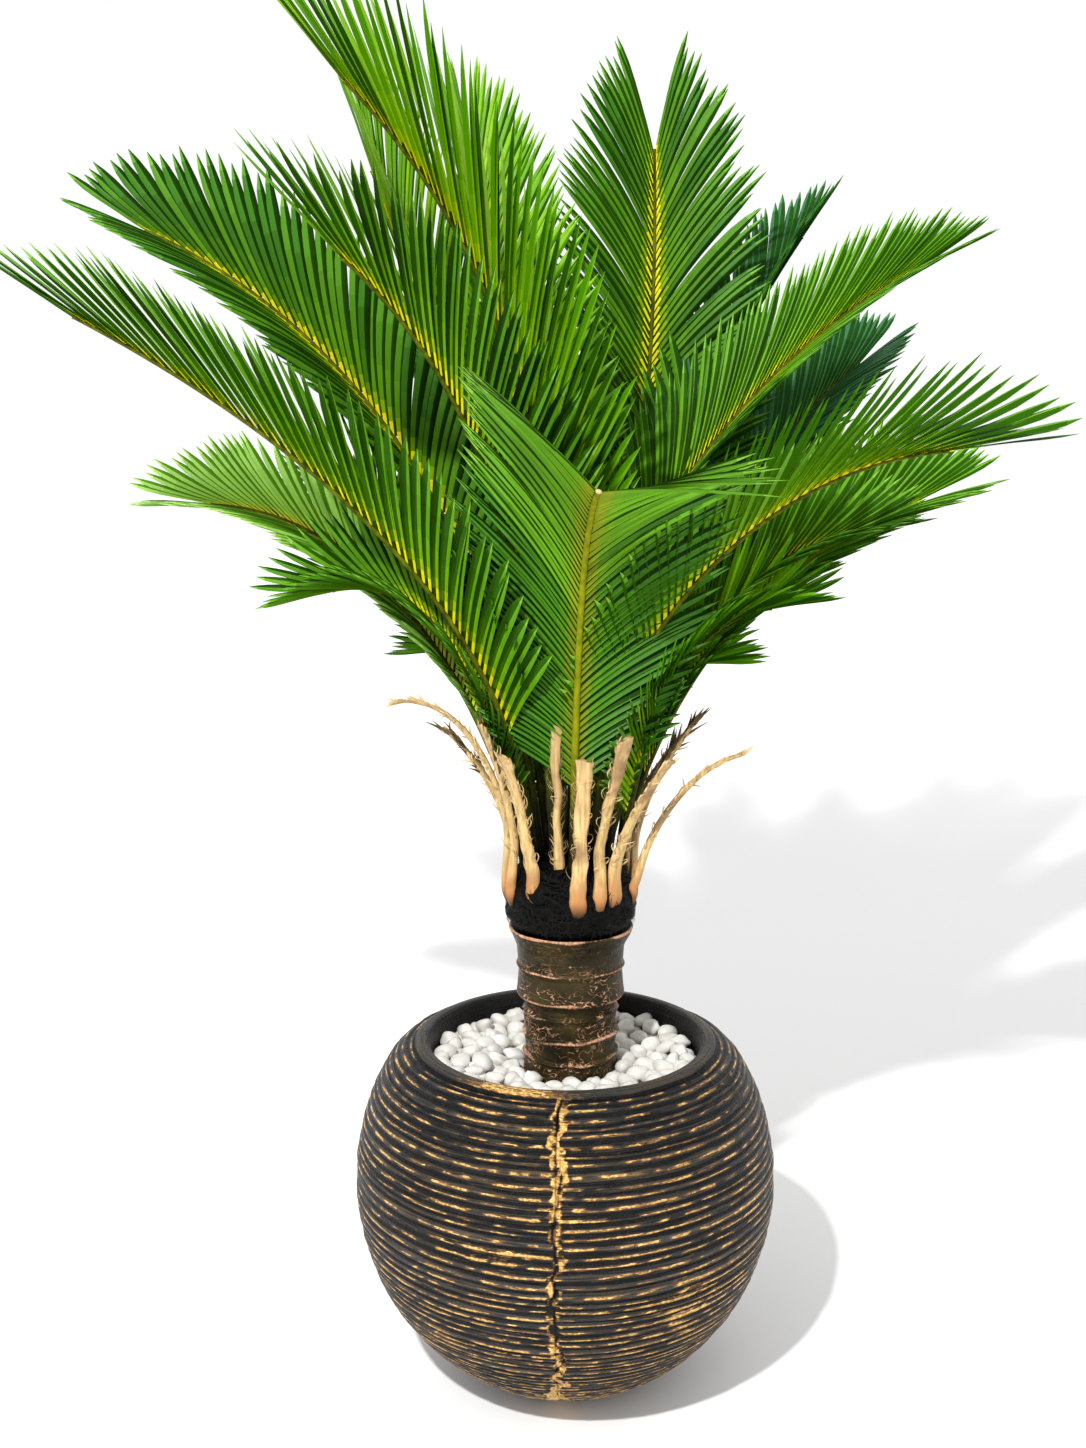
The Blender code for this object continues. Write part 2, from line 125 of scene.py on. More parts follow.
# Trunk, as in its solids
TRUNK_X = 5.0
SOIL_TOP_Z = 304.0
SHAFT_RADIUS = 47.0
SHAFT_TOP_Z = 392.0
SHAFT_RING_HEIGHTS = (334.0, 355.0, 378.0)
SLEEVE_RADIUS = 53.0
SLEEVE_LIP_RADIUS = 61.5
SLEEVE_TOP_Z = 463.0
COLLAR_RADIUS = 63.0
COLLAR_TOP_Z = 505.0
GAP = 0.4
BARK_WAVE = 2.2
BARK_COLUMNS = 200
COLLAR_COLUMNS = 220
COLLAR_FIBRES = 1500

# Dead leaf stubs, whose feet are drawn down the collar's side
FOOT_Z = 488.0
FOOT_RADIUS = 64.0
FOOT_ROWS = 8
STUB_ROWS = 56
STUB_COLUMNS = 20
WHISKER_STEPS = 6

# Fronds, by the same rule as their solids
LEAFLET_LENGTH = 165.0
BARE_STALK = 0.22
CURVE_PULL = 0.36
ANGLE_FROM_RIB = (62.0, 42.0, 30.0)
FORK_SHARE = 0.85
ANGLE_STOPS = (0.0, 0.5, 0.85, 1.0)
ANGLE_OF_V = (52.0, 28.0)
LENGTHS_ALONG_RIB = (0.6, 1.0, 1.0)
LENGTH_STOPS = (0.0, 0.35, 0.75, 1.0)
LEAFLET_PITCH = 7.8
LEAFLET_STOPS = (0.0, 0.09, 0.17, 0.27, 0.38, 0.5, 0.64, 0.78, 0.9, 1.0)
LEAFLET_WIDTHS = (0.95, 0.97, 1.0, 1.0, 1.0, 1.0, 1.0, 0.88, 0.55, 0.05)
LEAFLET_SHADES = (0, 1, 2, 2, 3, 3, 4, 4, 5)
ACROSS_LIFT = (-0.35, -0.08, 0.1, -0.08, -0.3)
# Quarters across a leaflet that are painted in shade, on one side of the rib and on the other
SHADED_QUARTERS = ((0, 0, 1, 1), (1, 1, 0, 0))
LEAFLET_TWIST = 16.0
LEAFLET_COVER = 1.22
LEAFLET_HALF_WIDTHS = (2.0, 4.8)
RIB_STOPS = (0, 0.08, BARE_STALK, 0.4, 1)
RIB_WIDTHS = (12.0, 10, 8, 6.5, 4.5)
RIB_DEPTHS = (9, 7.5, 6, 5, 3)
RIB_ROWS = 48
RIB_COLUMNS = 10

# broad scales the width of a frond's leaflets and the room between them. dark gives which quarters of the
# width of its leaflets are painted in shade, with darker copies of their colours, on one side of the rib and
# on the other.
Frond = namedtuple(
    "Frond",
    "name azimuth seat reach height leave arrive roll leaf tip fork rise spread tints broad dark",
    defaults=(0, 1.0, 0.7, 9, 1.0, 1.0, ("fresh", "middle"), 1.0, SHADED_QUARTERS),
)
FRONDS = (
    Frond("left_long", 204, 42, 445, 1028, 92, 27, roll=-10, leaf=0.95, tip=0.62, spread=0.85,
          tints=("fresh", "fresh"), broad=1.5),
    Frond("left_upper", 176, 28, 396, 1122, 87, 24, roll=-60, leaf=0.92, tip=0.6, tints=("middle", "deep"),
          broad=1.35),
    Frond("front_left", 229, 22, 280, 1070, 86, 30, roll=-22, tip=0.8, spread=0.85, tints=("middle", "fresh"),
          broad=1.3),
    Frond("top_left", 214, 10, 228, 1220, 91, 38, roll=-25, leaf=1.22, tip=0.66, spread=0.72,
          tints=("lime", "fresh"), broad=1.55),
    Frond("top_back", 64, 14, 195, 1218, 66, 95, roll=25, fork=14, rise=0.5, spread=1.2,
          tints=("middle", "deep"), broad=1.1),
    Frond("right_upper", 18, 28, 362, 1098, 106, 26, roll=45, leaf=0.85, spread=0.62,
          tints=("fresh", "middle")),
    Frond("right_long", 318, 42, 385, 922, 106, 4, roll=30, leaf=0.82, tip=0.88, spread=0.8,
          tints=("fresh", "fresh"), broad=1.3),
    Frond("front_centre", 274, 34, 240, 890, 92, 12, roll=-20, leaf=1.05, tip=0.95, fork=52, rise=0.3,
          spread=1.1, tints=("plain", "shade"), broad=0.95, dark=((0, 0, 1, 1), (0, 1, 0, 1))),
    Frond("left_low", 168, 42, 360, 868, 80, 2, roll=-55, leaf=0.68, tip=0.8,
          tints=("pale", "pale"), broad=0.85),
    Frond("right_lower", 2, 42, 325, 872, 80, 18, roll=55, leaf=0.8, tints=("fresh", "fresh"), broad=0.8),
    Frond("right_mid", 350, 29, 255, 845, 78, 14, roll=55, leaf=0.7, tints=("fresh", "middle"), broad=0.75),
    Frond("left_lower", 188, 42, 222, 794, 78, -10, roll=-55, leaf=0.66,
          tints=("middle", "fresh"), broad=0.75),
    Frond("back_left_tall", 146, 26, 235, 1190, 86, 66, leaf=1.15, tip=0.8, spread=0.75,
          tints=("lime", "fresh"), broad=1.1),
    Frond("back_right_tall", 44, 30, 340, 1140, 84, 45, leaf=0.85, spread=0.7,
          tints=("blue", "middle"), broad=1.7),
    Frond("back_top", 126, 16, 165, 1200, 86, 75, leaf=0.95, tints=("lime", "fresh"), broad=1.1),
    Frond("back_right", 36, 42, 380, 1010, 80, 32, roll=40, leaf=0.75, tints=("blue", "middle"), broad=1.2),
    Frond("right_low", 340, 42, 190, 780, 76, 12, roll=50, leaf=0.65, tints=("lime", "fresh"), broad=0.7),
    Frond("left_lowest", 152, 44, 135, 725, 76, -5, roll=-50, leaf=0.6, tints=("fresh", "middle"), broad=0.7),
    Frond("back_right_low", 20, 46, 130, 715, 76, 0, roll=50, leaf=0.65, tints=("lime", "fresh"), broad=0.7),
    Frond("back_centre", 88, 28, 330, 1010, 82, 35, tints=("middle", "deep")),
    Frond("back_left", 118, 40, 340, 1030, 84, 35, tints=("middle", "deep")),
    Frond("back_low_right", 60, 44, 360, 860, 76, 10, leaf=0.9, tints=("fresh", "fresh")),
    Frond("back_low_centre", 96, 44, 370, 870, 76, 10, leaf=0.9, tints=("middle", "deep")),
    Frond("back_low_left", 135, 44, 360, 850, 76, 10, leaf=0.9, tints=("middle", "deep")),
)

# drift is how far to the right a stub's foot stands of its arch, and dead the number of dead leaflets on it
Stub = namedtuple("Stub", "name azimuth seat reach height leave arrive foot top drift dead", defaults=(0, 0))
STUBS = (
    Stub("stub_left_thin", 184, 55, 168, 686, 90, -5, 15, 4, 0, 16),
    Stub("stub_left_mid", 203, 55, 94, 669, 88, 65, 14, 8, 0, 12),
    Stub("stub_front_left", 224, 55, 89, 643, 86, 65, 20, 13, 9),
    Stub("stub_centre", 250, 36, 44, 672, 88, 86, 13, 10),
    Stub("stub_front", 279, 56, 66, 640, 91, 84, 20, 14, -4),
    Stub("stub_front_right", 300, 48, 97, 664, 88, 70, 16, 12, -4),
    Stub("stub_right_wide", 317, 56, 124, 644, 88, 50, 19, 10, -6),
    Stub("stub_right_long", 344, 58, 168, 642, 68, 18, 15, 5, 0, 16),
    Stub("stub_right_back", 10, 56, 124, 662, 84, 50, 13, 7, 0, 24),
    Stub("stub_back_right", 28, 56, 130, 640, 84, 40, 14, 7, 0, 20),
    Stub("stub_back_far_right", 70, 56, 110, 650, 86, 60, 15, 8),
    Stub("stub_back", 103, 56, 140, 630, 84, 35, 14, 6),
    Stub("stub_back_far_left", 121, 56, 140, 650, 84, 40, 15, 8),
    Stub("stub_back_left", 160, 56, 135, 650, 86, 35, 14, 6, 0, 20),
)

# Leaflet colours from the root to the tip, in 8-bit sRGB
TINTS = {
    "lime": ((226, 216, 4), (186, 196, 4), (144, 182, 4), (124, 170, 10), (118, 170, 22), (132, 182, 48)),
    "fresh": ((220, 210, 6), (146, 172, 4), (102, 152, 8), (88, 142, 12), (94, 150, 30), (126, 180, 60)),
    "middle": ((214, 204, 6), (120, 152, 4), (78, 128, 8), (68, 118, 10), (74, 128, 22), (102, 158, 46)),
    "deep": ((196, 188, 6), (86, 122, 6), (56, 102, 8), (46, 94, 8), (54, 108, 20), (82, 138, 42)),
    "pale": ((220, 212, 40), (168, 196, 60), (142, 186, 66), (136, 184, 72), (146, 192, 86), (176, 212, 118)),
    "plain": ((128, 144, 8), (104, 148, 8), (92, 148, 10), (88, 144, 14), (94, 152, 32), (126, 180, 60)),
    # Painted shade: a darker green for the lower part of the plain front frond
    "shade": ((104, 122, 8), (72, 122, 6), (60, 116, 8), (56, 110, 12), (64, 122, 28), (98, 154, 56)),
    "blue": ((84, 116, 30), (58, 108, 42), (50, 98, 52), (50, 98, 60), (58, 112, 72), (88, 144, 102)),
}
# Painted shade: a leaflet's shaded parts are this share as bright as its lit parts, with these shares of red,
# green and blue
SHADED = dict(lime=0.72, fresh=0.5, middle=0.44, deep=0.44, pale=0.6, plain=0.4, shade=0.36, blue=0.6)
SHADED_TONE = (0.88, 1.12, 0.4)
# A shaded leaflet root is painted this dark green as painted shade, in place of its yellow
SHADED_ROOT = (34, 58, 4)
# Fronds whose first tint is one of these have their second tint on their lower part alone
GRADED_TINTS = ("blue", "plain")
STRETCHES = ("root", "neck", "low", "middle", "high", "tip")


# Mesh helpers


def unit(vectors):
    return vectors / np.linalg.norm(vectors, axis=-1, keepdims=True)


def outwards(azimuth):
    """The level direction away from the trunk at an azimuth in radians."""
    return np.stack([np.cos(azimuth), np.sin(azimuth), np.zeros_like(azimuth)], axis=-1)


def rotation(axis, angle):
    """The matrix of a turn about x, y or z, given as 0, 1 or 2."""
    first, second = (axis + 1) % 3, (axis + 2) % 3
    matrix = np.eye(3)
    matrix[first, first] = matrix[second, second] = math.cos(angle)
    matrix[second, first] = math.sin(angle)
    matrix[first, second] = -math.sin(angle)
    return matrix


def smoothstep(low, high, values):
    share = np.clip((values - low) / (high - low), 0, 1)
    return share * share * (3 - 2 * share)


def bell(values, width):
    """1 where values are 0, falling smoothly to either side."""
    return np.exp(-((values / width) ** 2))


def lengths_along(*lines):
    """Lengths travelled along a line, from its coordinates."""
    return np.concatenate([[0], np.cumsum(np.hypot(*np.diff(lines)))])


def smooth_noise(u, v, cells_u, cells_v, seed):
    """Noise from -1 to 1 at u, which wraps round at 1, and v from 0 to 1."""
    values = np.random.default_rng(seed).uniform(-1, 1, (cells_v + 1, cells_u))
    u, v = np.broadcast_arrays(u, v)
    x = (u % 1) * cells_u
    y = np.clip(v, 0, 1) * cells_v
    column = np.floor(x).astype(int) % cells_u
    row = np.minimum(np.floor(y).astype(int), cells_v - 1)
    after = (column + 1) % cells_u
    right = smoothstep(0, 1, x - np.floor(x))
    up = smoothstep(0, 1, y - row)
    lower = values[row, column] * (1 - right) + values[row, after] * right
    upper = values[row + 1, column] * (1 - right) + values[row + 1, after] * right
    return lower * (1 - up) + upper * up


def grid_quads(rows, columns, copies=1, wrap=False):
    """Quads of copies of a grid of rows x columns points, its columns joined round if wrap."""
    spans = columns if wrap else columns - 1
    row, column = np.meshgrid(np.arange(rows - 1), np.arange(spans), indexing="ij")
    after = (column + 1) % columns
    below = row * columns
    above = below + columns
    quads = np.stack([below + column, below + after, above + after, above + column], axis=-1).reshape(-1, 4)
    shifts = np.arange(copies) * rows * columns
    return (quads + shifts[:, None, None]).reshape(-1, 4)


def add_piece(name, points, looks, replaced, quads=None, shades=None, values=None):
    """Makes one piece that rides on the body and replaces a solid. Unless quads are given, points of rows x
    columns make a tube, and points of strips x rows x columns make strips. shades gives each face's place in
    looks, and values holds named numbers or vectors for each point, which materials read."""
    points = np.asarray(points, np.float32)
    if quads is None:
        quads = grid_quads(*points.shape[-3:-1], *points.shape[:-3], wrap=points.ndim == 3)
    points = points.reshape(-1, 3) * METRES
    quads = np.asarray(quads, np.int32)
    mesh = bpy.data.meshes.new(name)
    mesh.vertices.add(len(points))
    mesh.vertices.foreach_set("co", points.ravel())
    mesh.loops.add(quads.size)
    mesh.loops.foreach_set("vertex_index", quads.ravel())
    mesh.polygons.add(len(quads))
    mesh.polygons.foreach_set("loop_start", np.arange(0, quads.size, 4, dtype=np.int32))
    mesh.polygons.foreach_set("use_smooth", np.ones(len(quads), bool))
    for look in looks:
        mesh.materials.append(look)
    if shades is not None:
        mesh.polygons.foreach_set("material_index", np.asarray(shades, np.int32))
    mesh.update(calc_edges=True)
    mesh.validate()
    for key, numbers in (values or {}).items():
        numbers = np.asarray(numbers, np.float32)
        vector = numbers.size == 3 * len(points)
        made = mesh.attributes.new(key, "FLOAT_VECTOR" if vector else "FLOAT", "POINT")
        made.data.foreach_set("vector" if vector else "value", numbers.ravel())
    piece = bpy.data.objects.new(name, mesh)
    bpy.context.scene.collection.objects.link(piece)
    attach(piece, "root")
    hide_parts(replaced)


def turned(radii, heights, columns, centre_x=0.0, start_azimuth=SEAM_AZIMUTH):
    """Points of a surface turned about an upright axis, its first column at start_azimuth. radii and heights
    are rows x columns, or one for each row, and columns is a number or each column's share of the turn."""
    turns = np.arange(columns) / columns if isinstance(columns, int) else columns
    angle = math.radians(start_azimuth) + 2 * math.pi * turns
    radii, heights = (line[:, None] if line.ndim == 1 else line for line in (radii, heights))
    radii, heights, angle = np.broadcast_arrays(radii, heights, angle)
    return np.stack([centre_x + radii * np.cos(angle), radii * np.sin(angle), heights], axis=-1)


def flat_places(around, up):
    """Each point's place on the surface unrolled flat, from lengths round it (columns) and up it (rows)."""
    return np.stack(np.broadcast_arrays(around, up[:, None], 0.0), axis=-1)


def rings(middle, side, face, wide, deep):
    """Points of rings round a midline, at lengths wide to its side and deep to its face (rows x columns)."""
    return middle[:, None] + side[:, None] * wide[..., None] + face[:, None] * deep[..., None]


def resized(ring, share, shift):
    """A ring made smaller or larger about its middle and shifted."""
    centre = ring.mean(axis=0)
    return centre + (ring - centre) * share + shift


def ribbons(paths, across, thick, half_widths, lifts=(0.0, 0.0)):
    """Points of thin strips along paths (strips x steps x 3), bent in section by lifts."""
    offsets = np.linspace(-1, 1, len(lifts))[:, None]
    widths = half_widths[..., None, None]
    rows = paths[:, :, None] + across[:, :, None] * offsets * widths
    return rows + thick[:, :, None] * np.array(lifts)[:, None] * widths


def strip_frames(paths, wide):
    """Directions across and out of strips along paths, the first as near to wide as it can be."""
    heading = unit(np.gradient(paths, axis=1))
    across = unit(wide - heading * np.sum(heading * wide, axis=-1, keepdims=True))
    return across, np.cross(heading, across)


def joined(parts):
    """Points, quads and shades of strips given as (points, shade)."""
    points, quads, shades = [], [], []
    for strips, shade in parts:
        copies, rows, columns = strips.shape[:3]
        found = grid_quads(rows, columns, copies)
        quads.append(found + sum(len(part) for part in points))
        shades.append(np.full(len(found), shade))
        points.append(strips.reshape(-1, 3))
    return np.concatenate(points), np.concatenate(quads), np.concatenate(shades)


# Material helpers


def linear(colour):
    """8-bit sRGB as the linear colour that shaders take."""
    shares = np.asarray(colour, float) / 255
    curved = np.where(shares <= 0.04045, shares / 12.92, ((shares + 0.055) / 1.055) ** 2.4)
    return (*curved.tolist(), 1.0)


class Look:
    """A Principled material being made, with short ways to add the nodes that the looks below share."""

    def __init__(self, name, colour, roughness, specular=0.5):
        self.material = bpy.data.materials.new(name)
        self.material.use_nodes = True
        self.tree = self.material.node_tree
        self.shader = self.tree.nodes["Principled BSDF"]
        self.set("Base Color", linear(colour))
        self.set("Roughness", roughness)
        self.set("Specular IOR Level", specular)

    def connect(self, value, socket):
        """Links a node's output to a socket, or gives the socket a plain value."""
        if isinstance(value, bpy.types.NodeSocket):
            self.tree.links.new(value, socket)
        else:
            socket.default_value = value

    def set(self, socket, value):
        self.connect(value, self.shader.inputs[socket])

    def node(self, kind, settings=(), **inputs):
        """Adds a node. Its inputs are named in words, or i0, i1 and so on by their place."""
        made = self.tree.nodes.new(kind)
        for key, value in dict(settings).items():
            setattr(made, key, value)
        for key, value in inputs.items():
            numbered = key[0] == "i" and key[1:].isdigit()
            self.connect(value, made.inputs[int(key[1:]) if numbered else key.replace("_", " ")])
        return made

    def stretched(self, where, scale):
        return self.node("ShaderNodeMapping", Vector=where, Scale=scale).outputs[0]

    def place(self, scale=(1, 1, 1)):
        """The point on the surface in metres, stretched by scale."""
        return self.stretched(self.node("ShaderNodeTexCoord").outputs["Object"], scale)

    def height(self):
        """Metres above the floor."""
        return self.node("ShaderNodeSeparateXYZ", Vector=self.place()).outputs["Z"]

    def value(self, name):
        return self.node("ShaderNodeAttribute", {"attribute_name": name}).outputs["Fac"]

    def vector(self, name, scale):
        where = self.node("ShaderNodeAttribute", {"attribute_name": name}).outputs["Vector"]
        return self.stretched(where, scale)

    def noise(self, where, scale, detail=3.0, distortion=0.0):
        settings = {"Vector": where, "Scale": scale, "Detail": detail, "Distortion": distortion}
        return self.node("ShaderNodeTexNoise", **settings).outputs["Fac"]

    def spread(self, source, low, high, to_low=0.0, to_high=1.0):
        """source mapped from low..high to another range, and held inside it."""
        made = self.node("ShaderNodeMapRange", i0=source, i1=low, i2=high, i3=to_low, i4=to_high)
        return made.outputs[0]

    def sums(self, operation, first, second):
        return self.node("ShaderNodeMath", {"operation": operation}, i0=first, i1=second).outputs[0]

    def total(self, *parts):
        """The sum of sources, given one by one or as (source, weight)."""
        weighted = [self.sums("MULTIPLY", *part) if isinstance(part, tuple) else part for part in parts]
        found = weighted[0]
        for part in weighted[1:]:
            found = self.sums("ADD", found, part)
        return found

    def lines(self, source, wide, sharp):
        """Thin wandering lines, where a noise is near its middle value."""
        away = self.sums("ABSOLUTE", self.sums("SUBTRACT", source, 0.5), 0.0)
        return self.spread(away, wide, sharp)

    def blend(self, share, first, second):
        """first where share is 0 and second where it is 1, each in 8-bit sRGB or from a node."""
        made = self.node("ShaderNodeMix", {"data_type": "RGBA"}, i0=share)
        for socket, colour in zip(made.inputs[6:8], (first, second)):
            self.connect(linear(colour) if isinstance(colour, tuple) else colour, socket)
        return made.outputs[2]

    def bump(self, height, distance, strength=1.0):
        made = self.node("ShaderNodeBump", Height=height, Distance=distance, Strength=strength)
        self.set("Normal", made.outputs[0])


def grained_look(name, colour, roughness, specular, tones, grain, relief=None, stretch=1.0):
    """A look of two tones that lie in a grain, given by its scale and detail, with or without relief."""
    look = Look(name, colour, roughness, specular)
    tone = look.noise(look.place((1, 1, stretch)), *grain)
    look.set("Base Color", look.blend(tone, *tones))
    if relief:
        look.bump(tone, *relief)
    return look.material


# Stage: camera, floor and light


def add_object(name, data):
    made = bpy.data.objects.new(name, data)
    bpy.context.scene.collection.objects.link(made)
    return made


def make_camera():
    data = bpy.data.cameras.new("camera")
    data.sensor_width = SENSOR
    data.lens = SENSOR * FOCAL_PIXELS / PHOTO_HEIGHT
    camera = add_object("camera", data)
    camera.location = CAMERA_PLACE
    camera.rotation_euler = (math.radians(90 - CAMERA_PITCH_DOWN), 0, 0)
    bpy.context.scene.camera = camera


def make_floor():
    """A wide pale disc, its rings closer together near the middle."""
    count = len(FLOOR_RADII)
    points = turned(np.array(FLOOR_RADII), np.full(count, FLOOR_Z), FLOOR_COLUMNS, start_azimuth=0.0)
    mesh = bpy.data.meshes.new("floor")
    quads = grid_quads(count, FLOOR_COLUMNS, wrap=True)
    mesh.from_pydata((points.reshape(-1, 3) * METRES).tolist(), [], quads.tolist())
    look = Look("floor_white", (246, 246, 246), 0.7, 0.2)
    look.set("Base Color", look.blend(look.noise(look.place(), 1.5), (235, 235, 235), (239, 239, 239)))
    away = look.node("ShaderNodeVectorMath", {"operation": "LENGTH"}, i0=look.place()).outputs["Value"]
    look.set("Emission Color", linear((255, 255, 255)))
    look.set("Emission Strength", look.spread(away, 2.2, 5.0, 0.0, 0.2))
    mesh.materials.append(look.material)
    add_object("floor", mesh)


def make_lights():
    world = bpy.data.worlds.new("studio")
    world.use_nodes = True
    background = world.node_tree.nodes["Background"]
    background.inputs["Color"].default_value = (1.0, 1.0, 1.0, 1.0)
    background.inputs["Strength"].default_value = 1.0
    bpy.context.scene.world = world
    key = bpy.data.lights.new("key", "POINT")
    key.energy = 4 * math.pi * math.pi * KEY_LIGHT
    key.shadow_soft_size = KEY_RADIUS
    key.use_nodes = True
    tree = key.node_tree
    falloff = tree.nodes.new("ShaderNodeLightFalloff")
    falloff.inputs["Strength"].default_value = 1.0
    tree.links.new(falloff.outputs["Constant"], tree.nodes["Emission"].inputs["Strength"])
    add_object("key", key).location = KEY_PLACE
    bpy.context.scene.view_settings.view_transform = "Standard"


# Pot


def ellipse_profile(bottom_z, top_z, radius, half_height, count):
    """Radii and heights of the pot's ellipse from bottom to top, evenly spaced in angle."""
    low, high = (math.asin((level - POT_WIDEST_Z) / half_height) for level in (bottom_z, top_z))
    angle = np.linspace(low, high, count)
    return radius * np.cos(angle), POT_WIDEST_Z + half_height * np.sin(angle)


def shoulder_profile():
    """The pot's rounded top, from the ellipse over the rim to the inner wall, smooth through a few points."""
    outer = POT_RADIUS * math.sqrt(1 - ((RIM_START_Z - POT_WIDEST_Z) / POT_HALF_HEIGHT) ** 2)
    width = outer - MOUTH_RADIUS
    drop = RIM_TOP_Z - RIM_START_Z
    across = np.array([1.0, 0.88, 0.74, 0.6, RIBS_TOP_SHARE, 0.3, 0.13, 0.05, 0.01, 0.0, 0.0])
    rise = np.array([0.0, 0.27, 0.52, 0.72, 0.85, 0.96, 1.0, 0.98, 0.9, 0.7, -0.5])
    travelled = lengths_along(across * width, rise * drop)
    fine = np.linspace(0, travelled[-1], 60)
    smooth = np.array([np.interp(fine, travelled, line) for line in (across, rise)])
    for _ in range(6):
        smooth[:, 1:-1] = (smooth[:, :-2] + 2 * smooth[:, 1:-1] + smooth[:, 2:]) / 4
    return MOUTH_RADIUS + width * smooth[0], RIM_START_Z + drop * smooth[1]


def pot_outline():
    """Radii, heights and lengths along the ribbed wall from the foot up, and the rim's radii and heights."""
    radii, heights = ellipse_profile(0.0, RIM_START_Z, POT_RADIUS, POT_HALF_HEIGHT, 1500)
    top_radii, top_heights = shoulder_profile()
    ribs_end = MOUTH_RADIUS + RIBS_TOP_SHARE * (top_radii[0] - MOUTH_RADIUS)
    ribbed = top_radii > ribs_end
    radii = np.concatenate([radii, top_radii[ribbed][1:]])
    heights = np.concatenate([heights, top_heights[ribbed][1:]])
    arc = lengths_along(radii, heights)
    along = np.linspace(0, arc[-1], POT_ROWS)
    wall = (np.interp(along, arc, radii), np.interp(along, arc, heights), along)
    return *wall, top_radii[~ribbed], top_heights[~ribbed]


def pot_turns():
    """Shares of the turn from the seam for the pot's columns of points, which are closer at the seam."""
    near = np.linspace(-SEAM_SHARE, SEAM_SHARE, SEAM_COLUMNS)
    far = np.linspace(SEAM_SHARE, 1 - SEAM_SHARE, POT_COLUMNS - SEAM_COLUMNS + 2)[1:-1]
    return np.sort(np.concatenate([near % 1, far]))


def rib_edges(length, turn, chance):
    """Distances down from the rim to the edges of the ribs, which differ in width and wander."""
    edges = [1.0]
    while edges[-1] < length + 20:
        pitch = RIB_PITCHES[0] + (RIB_PITCHES[1] - RIB_PITCHES[0]) * min(edges[-1] / length, 1)
        edges.append(edges[-1] + pitch * chance.uniform(0.7, 1.3))
    order = np.arange(len(edges))[:, None] / len(edges)
    wander = 1.7 * smooth_noise(turn, order, 9, 30, 21) + 0.9 * smooth_noise(turn, order, 31, 60, 22)
    slopes = chance.uniform(-3, 3, len(edges))[:, None]
    return np.array(edges)[:, None] + wander + slopes * (turn - 0.5)


def rib_relief(travelled, turn):
    """Relief from 0 in a groove to 1 on a crest, at distances down from the rim (rows) and shares of the
    turn from the seam (columns), and the same for ribs that are all equally strong."""
    chance = np.random.default_rng(11)
    edges = rib_edges(travelled[-1], turn, chance)
    strength = chance.uniform(0.6, 1.0, len(edges))
    relief = np.zeros((len(travelled), len(turn)))
    crest = np.zeros((len(travelled), len(turn)))
    for column in range(len(turn)):
        lines = np.sort(edges[:, column])
        index = np.clip(np.searchsorted(lines, travelled) - 1, 0, len(lines) - 2)
        share = (travelled - lines[index]) / (lines[index + 1] - lines[index])
        crest[:, column] = np.sin(math.pi * np.clip(share, 0, 1)) ** 0.8
        relief[:, column] = strength[index] * crest[:, column]
    fade = smoothstep(0, 4, travelled)[:, None]
    return relief * fade, crest * fade


def seam_relief(radii, heights, along, turn):
    """How much each point of the wall belongs to the seam, and the seam's lumps, split down their middle."""
    level = heights / RIM_TOP_Z
    side = np.where(turn < 0.5, 1.0, -1.0)
    from_seam = np.minimum(turn, 1 - turn) * 2 * math.pi * radii * side
    from_seam = from_seam - 5.0 * smooth_noise(0.0, along / along[-1], 1, 30, 31)
    edge = np.abs(from_seam) + 4.0 * smooth_noise(turn, level, 200, 80, 32)
    wide = SEAM_HALF_WIDTH + 5 * smoothstep(70, 10, heights) + 2.5 * smoothstep(270, 320, heights)
    split = from_seam - 4.0 * smooth_noise(0.0, level, 1, 22, 35)
    lumps = 0.5 + 0.5 * smooth_noise(turn, level, 300, 70, 33) - 0.6 * bell(split, 1.1)
    return 1 - smoothstep(-1.5, 1.5, edge - wide), lumps


def spot_total(azimuths, heights, spots):
    """The sum of soft spots, each of its full strength at one place on the pot."""
    found = 0.0
    for spot in spots:
        away = (azimuths - spot.azimuth + 180) % 360 - 180
        found = found + spot.strength * bell(away, spot.wide) * bell(heights - spot.height, spot.tall)
    return found


def pot_wear(azimuths, heights, crest, seam, lumps, turn):
    """How far each point of the ribbed wall has gold rubbed on it: most on crests, the seam and the foot."""
    level = heights / RIM_TOP_Z
    worn = 0.415 + 0.08 * smooth_noise(turn, level, 11, 16, 34) + 0.06 * smooth_noise(turn, level, 60, 60, 36)
    worn = worn + 0.05 * smoothstep(190, 40, heights) + spot_total(azimuths, heights, [WORN_BY_SEAM])
    spots = spot_total(azimuths, heights, RUBBED_SPOTS)
    spots = spots * (0.7 + 0.5 * smooth_noise(turn, level, 90, 60, 39))
    rub = smoothstep(0.86, 0.998, crest) * worn + smoothstep(0.0, 0.55, crest) * spots
    heavy = SEAM_RUB + spot_total(azimuths, heights, SEAM_SPOTS) + 0.6 * (lumps - 0.5)
    return rub * (1 - seam) + seam * heavy


def ribbed_wall(radii, heights, along, turn, azimuths):
    """Points of the wall from the foot up, their relief and how much gold is rubbed on them."""
    travelled = along[-1] - along
    slope_out, slope_up = np.gradient(heights, along)[:, None], -np.gradient(radii, along)[:, None]
    radii, heights, along = radii[:, None], heights[:, None], along[:, None]
    relief, crest = (made[::-1] for made in rib_relief(travelled[::-1], turn))
    seam, lumps = seam_relief(radii, heights, along, turn)
    dents = 0.5 + 0.5 * smooth_noise(turn, heights / RIM_TOP_Z, 130, 110, 38)
    relief = relief * (1 - 0.3 * smoothstep(0.5, 0.95, dents))
    crest = crest * (1 - 0.18 * smoothstep(0.45, 0.9, dents))
    relief = relief * (1 - seam) + (1.2 * lumps - 0.2) * seam
    depth = RIB_DEPTH * (1 - relief)
    wall = turned(radii - depth * slope_out, heights - depth * slope_up, turn)
    return wall, relief, pot_wear(azimuths, heights, crest, seam, lumps, turn)


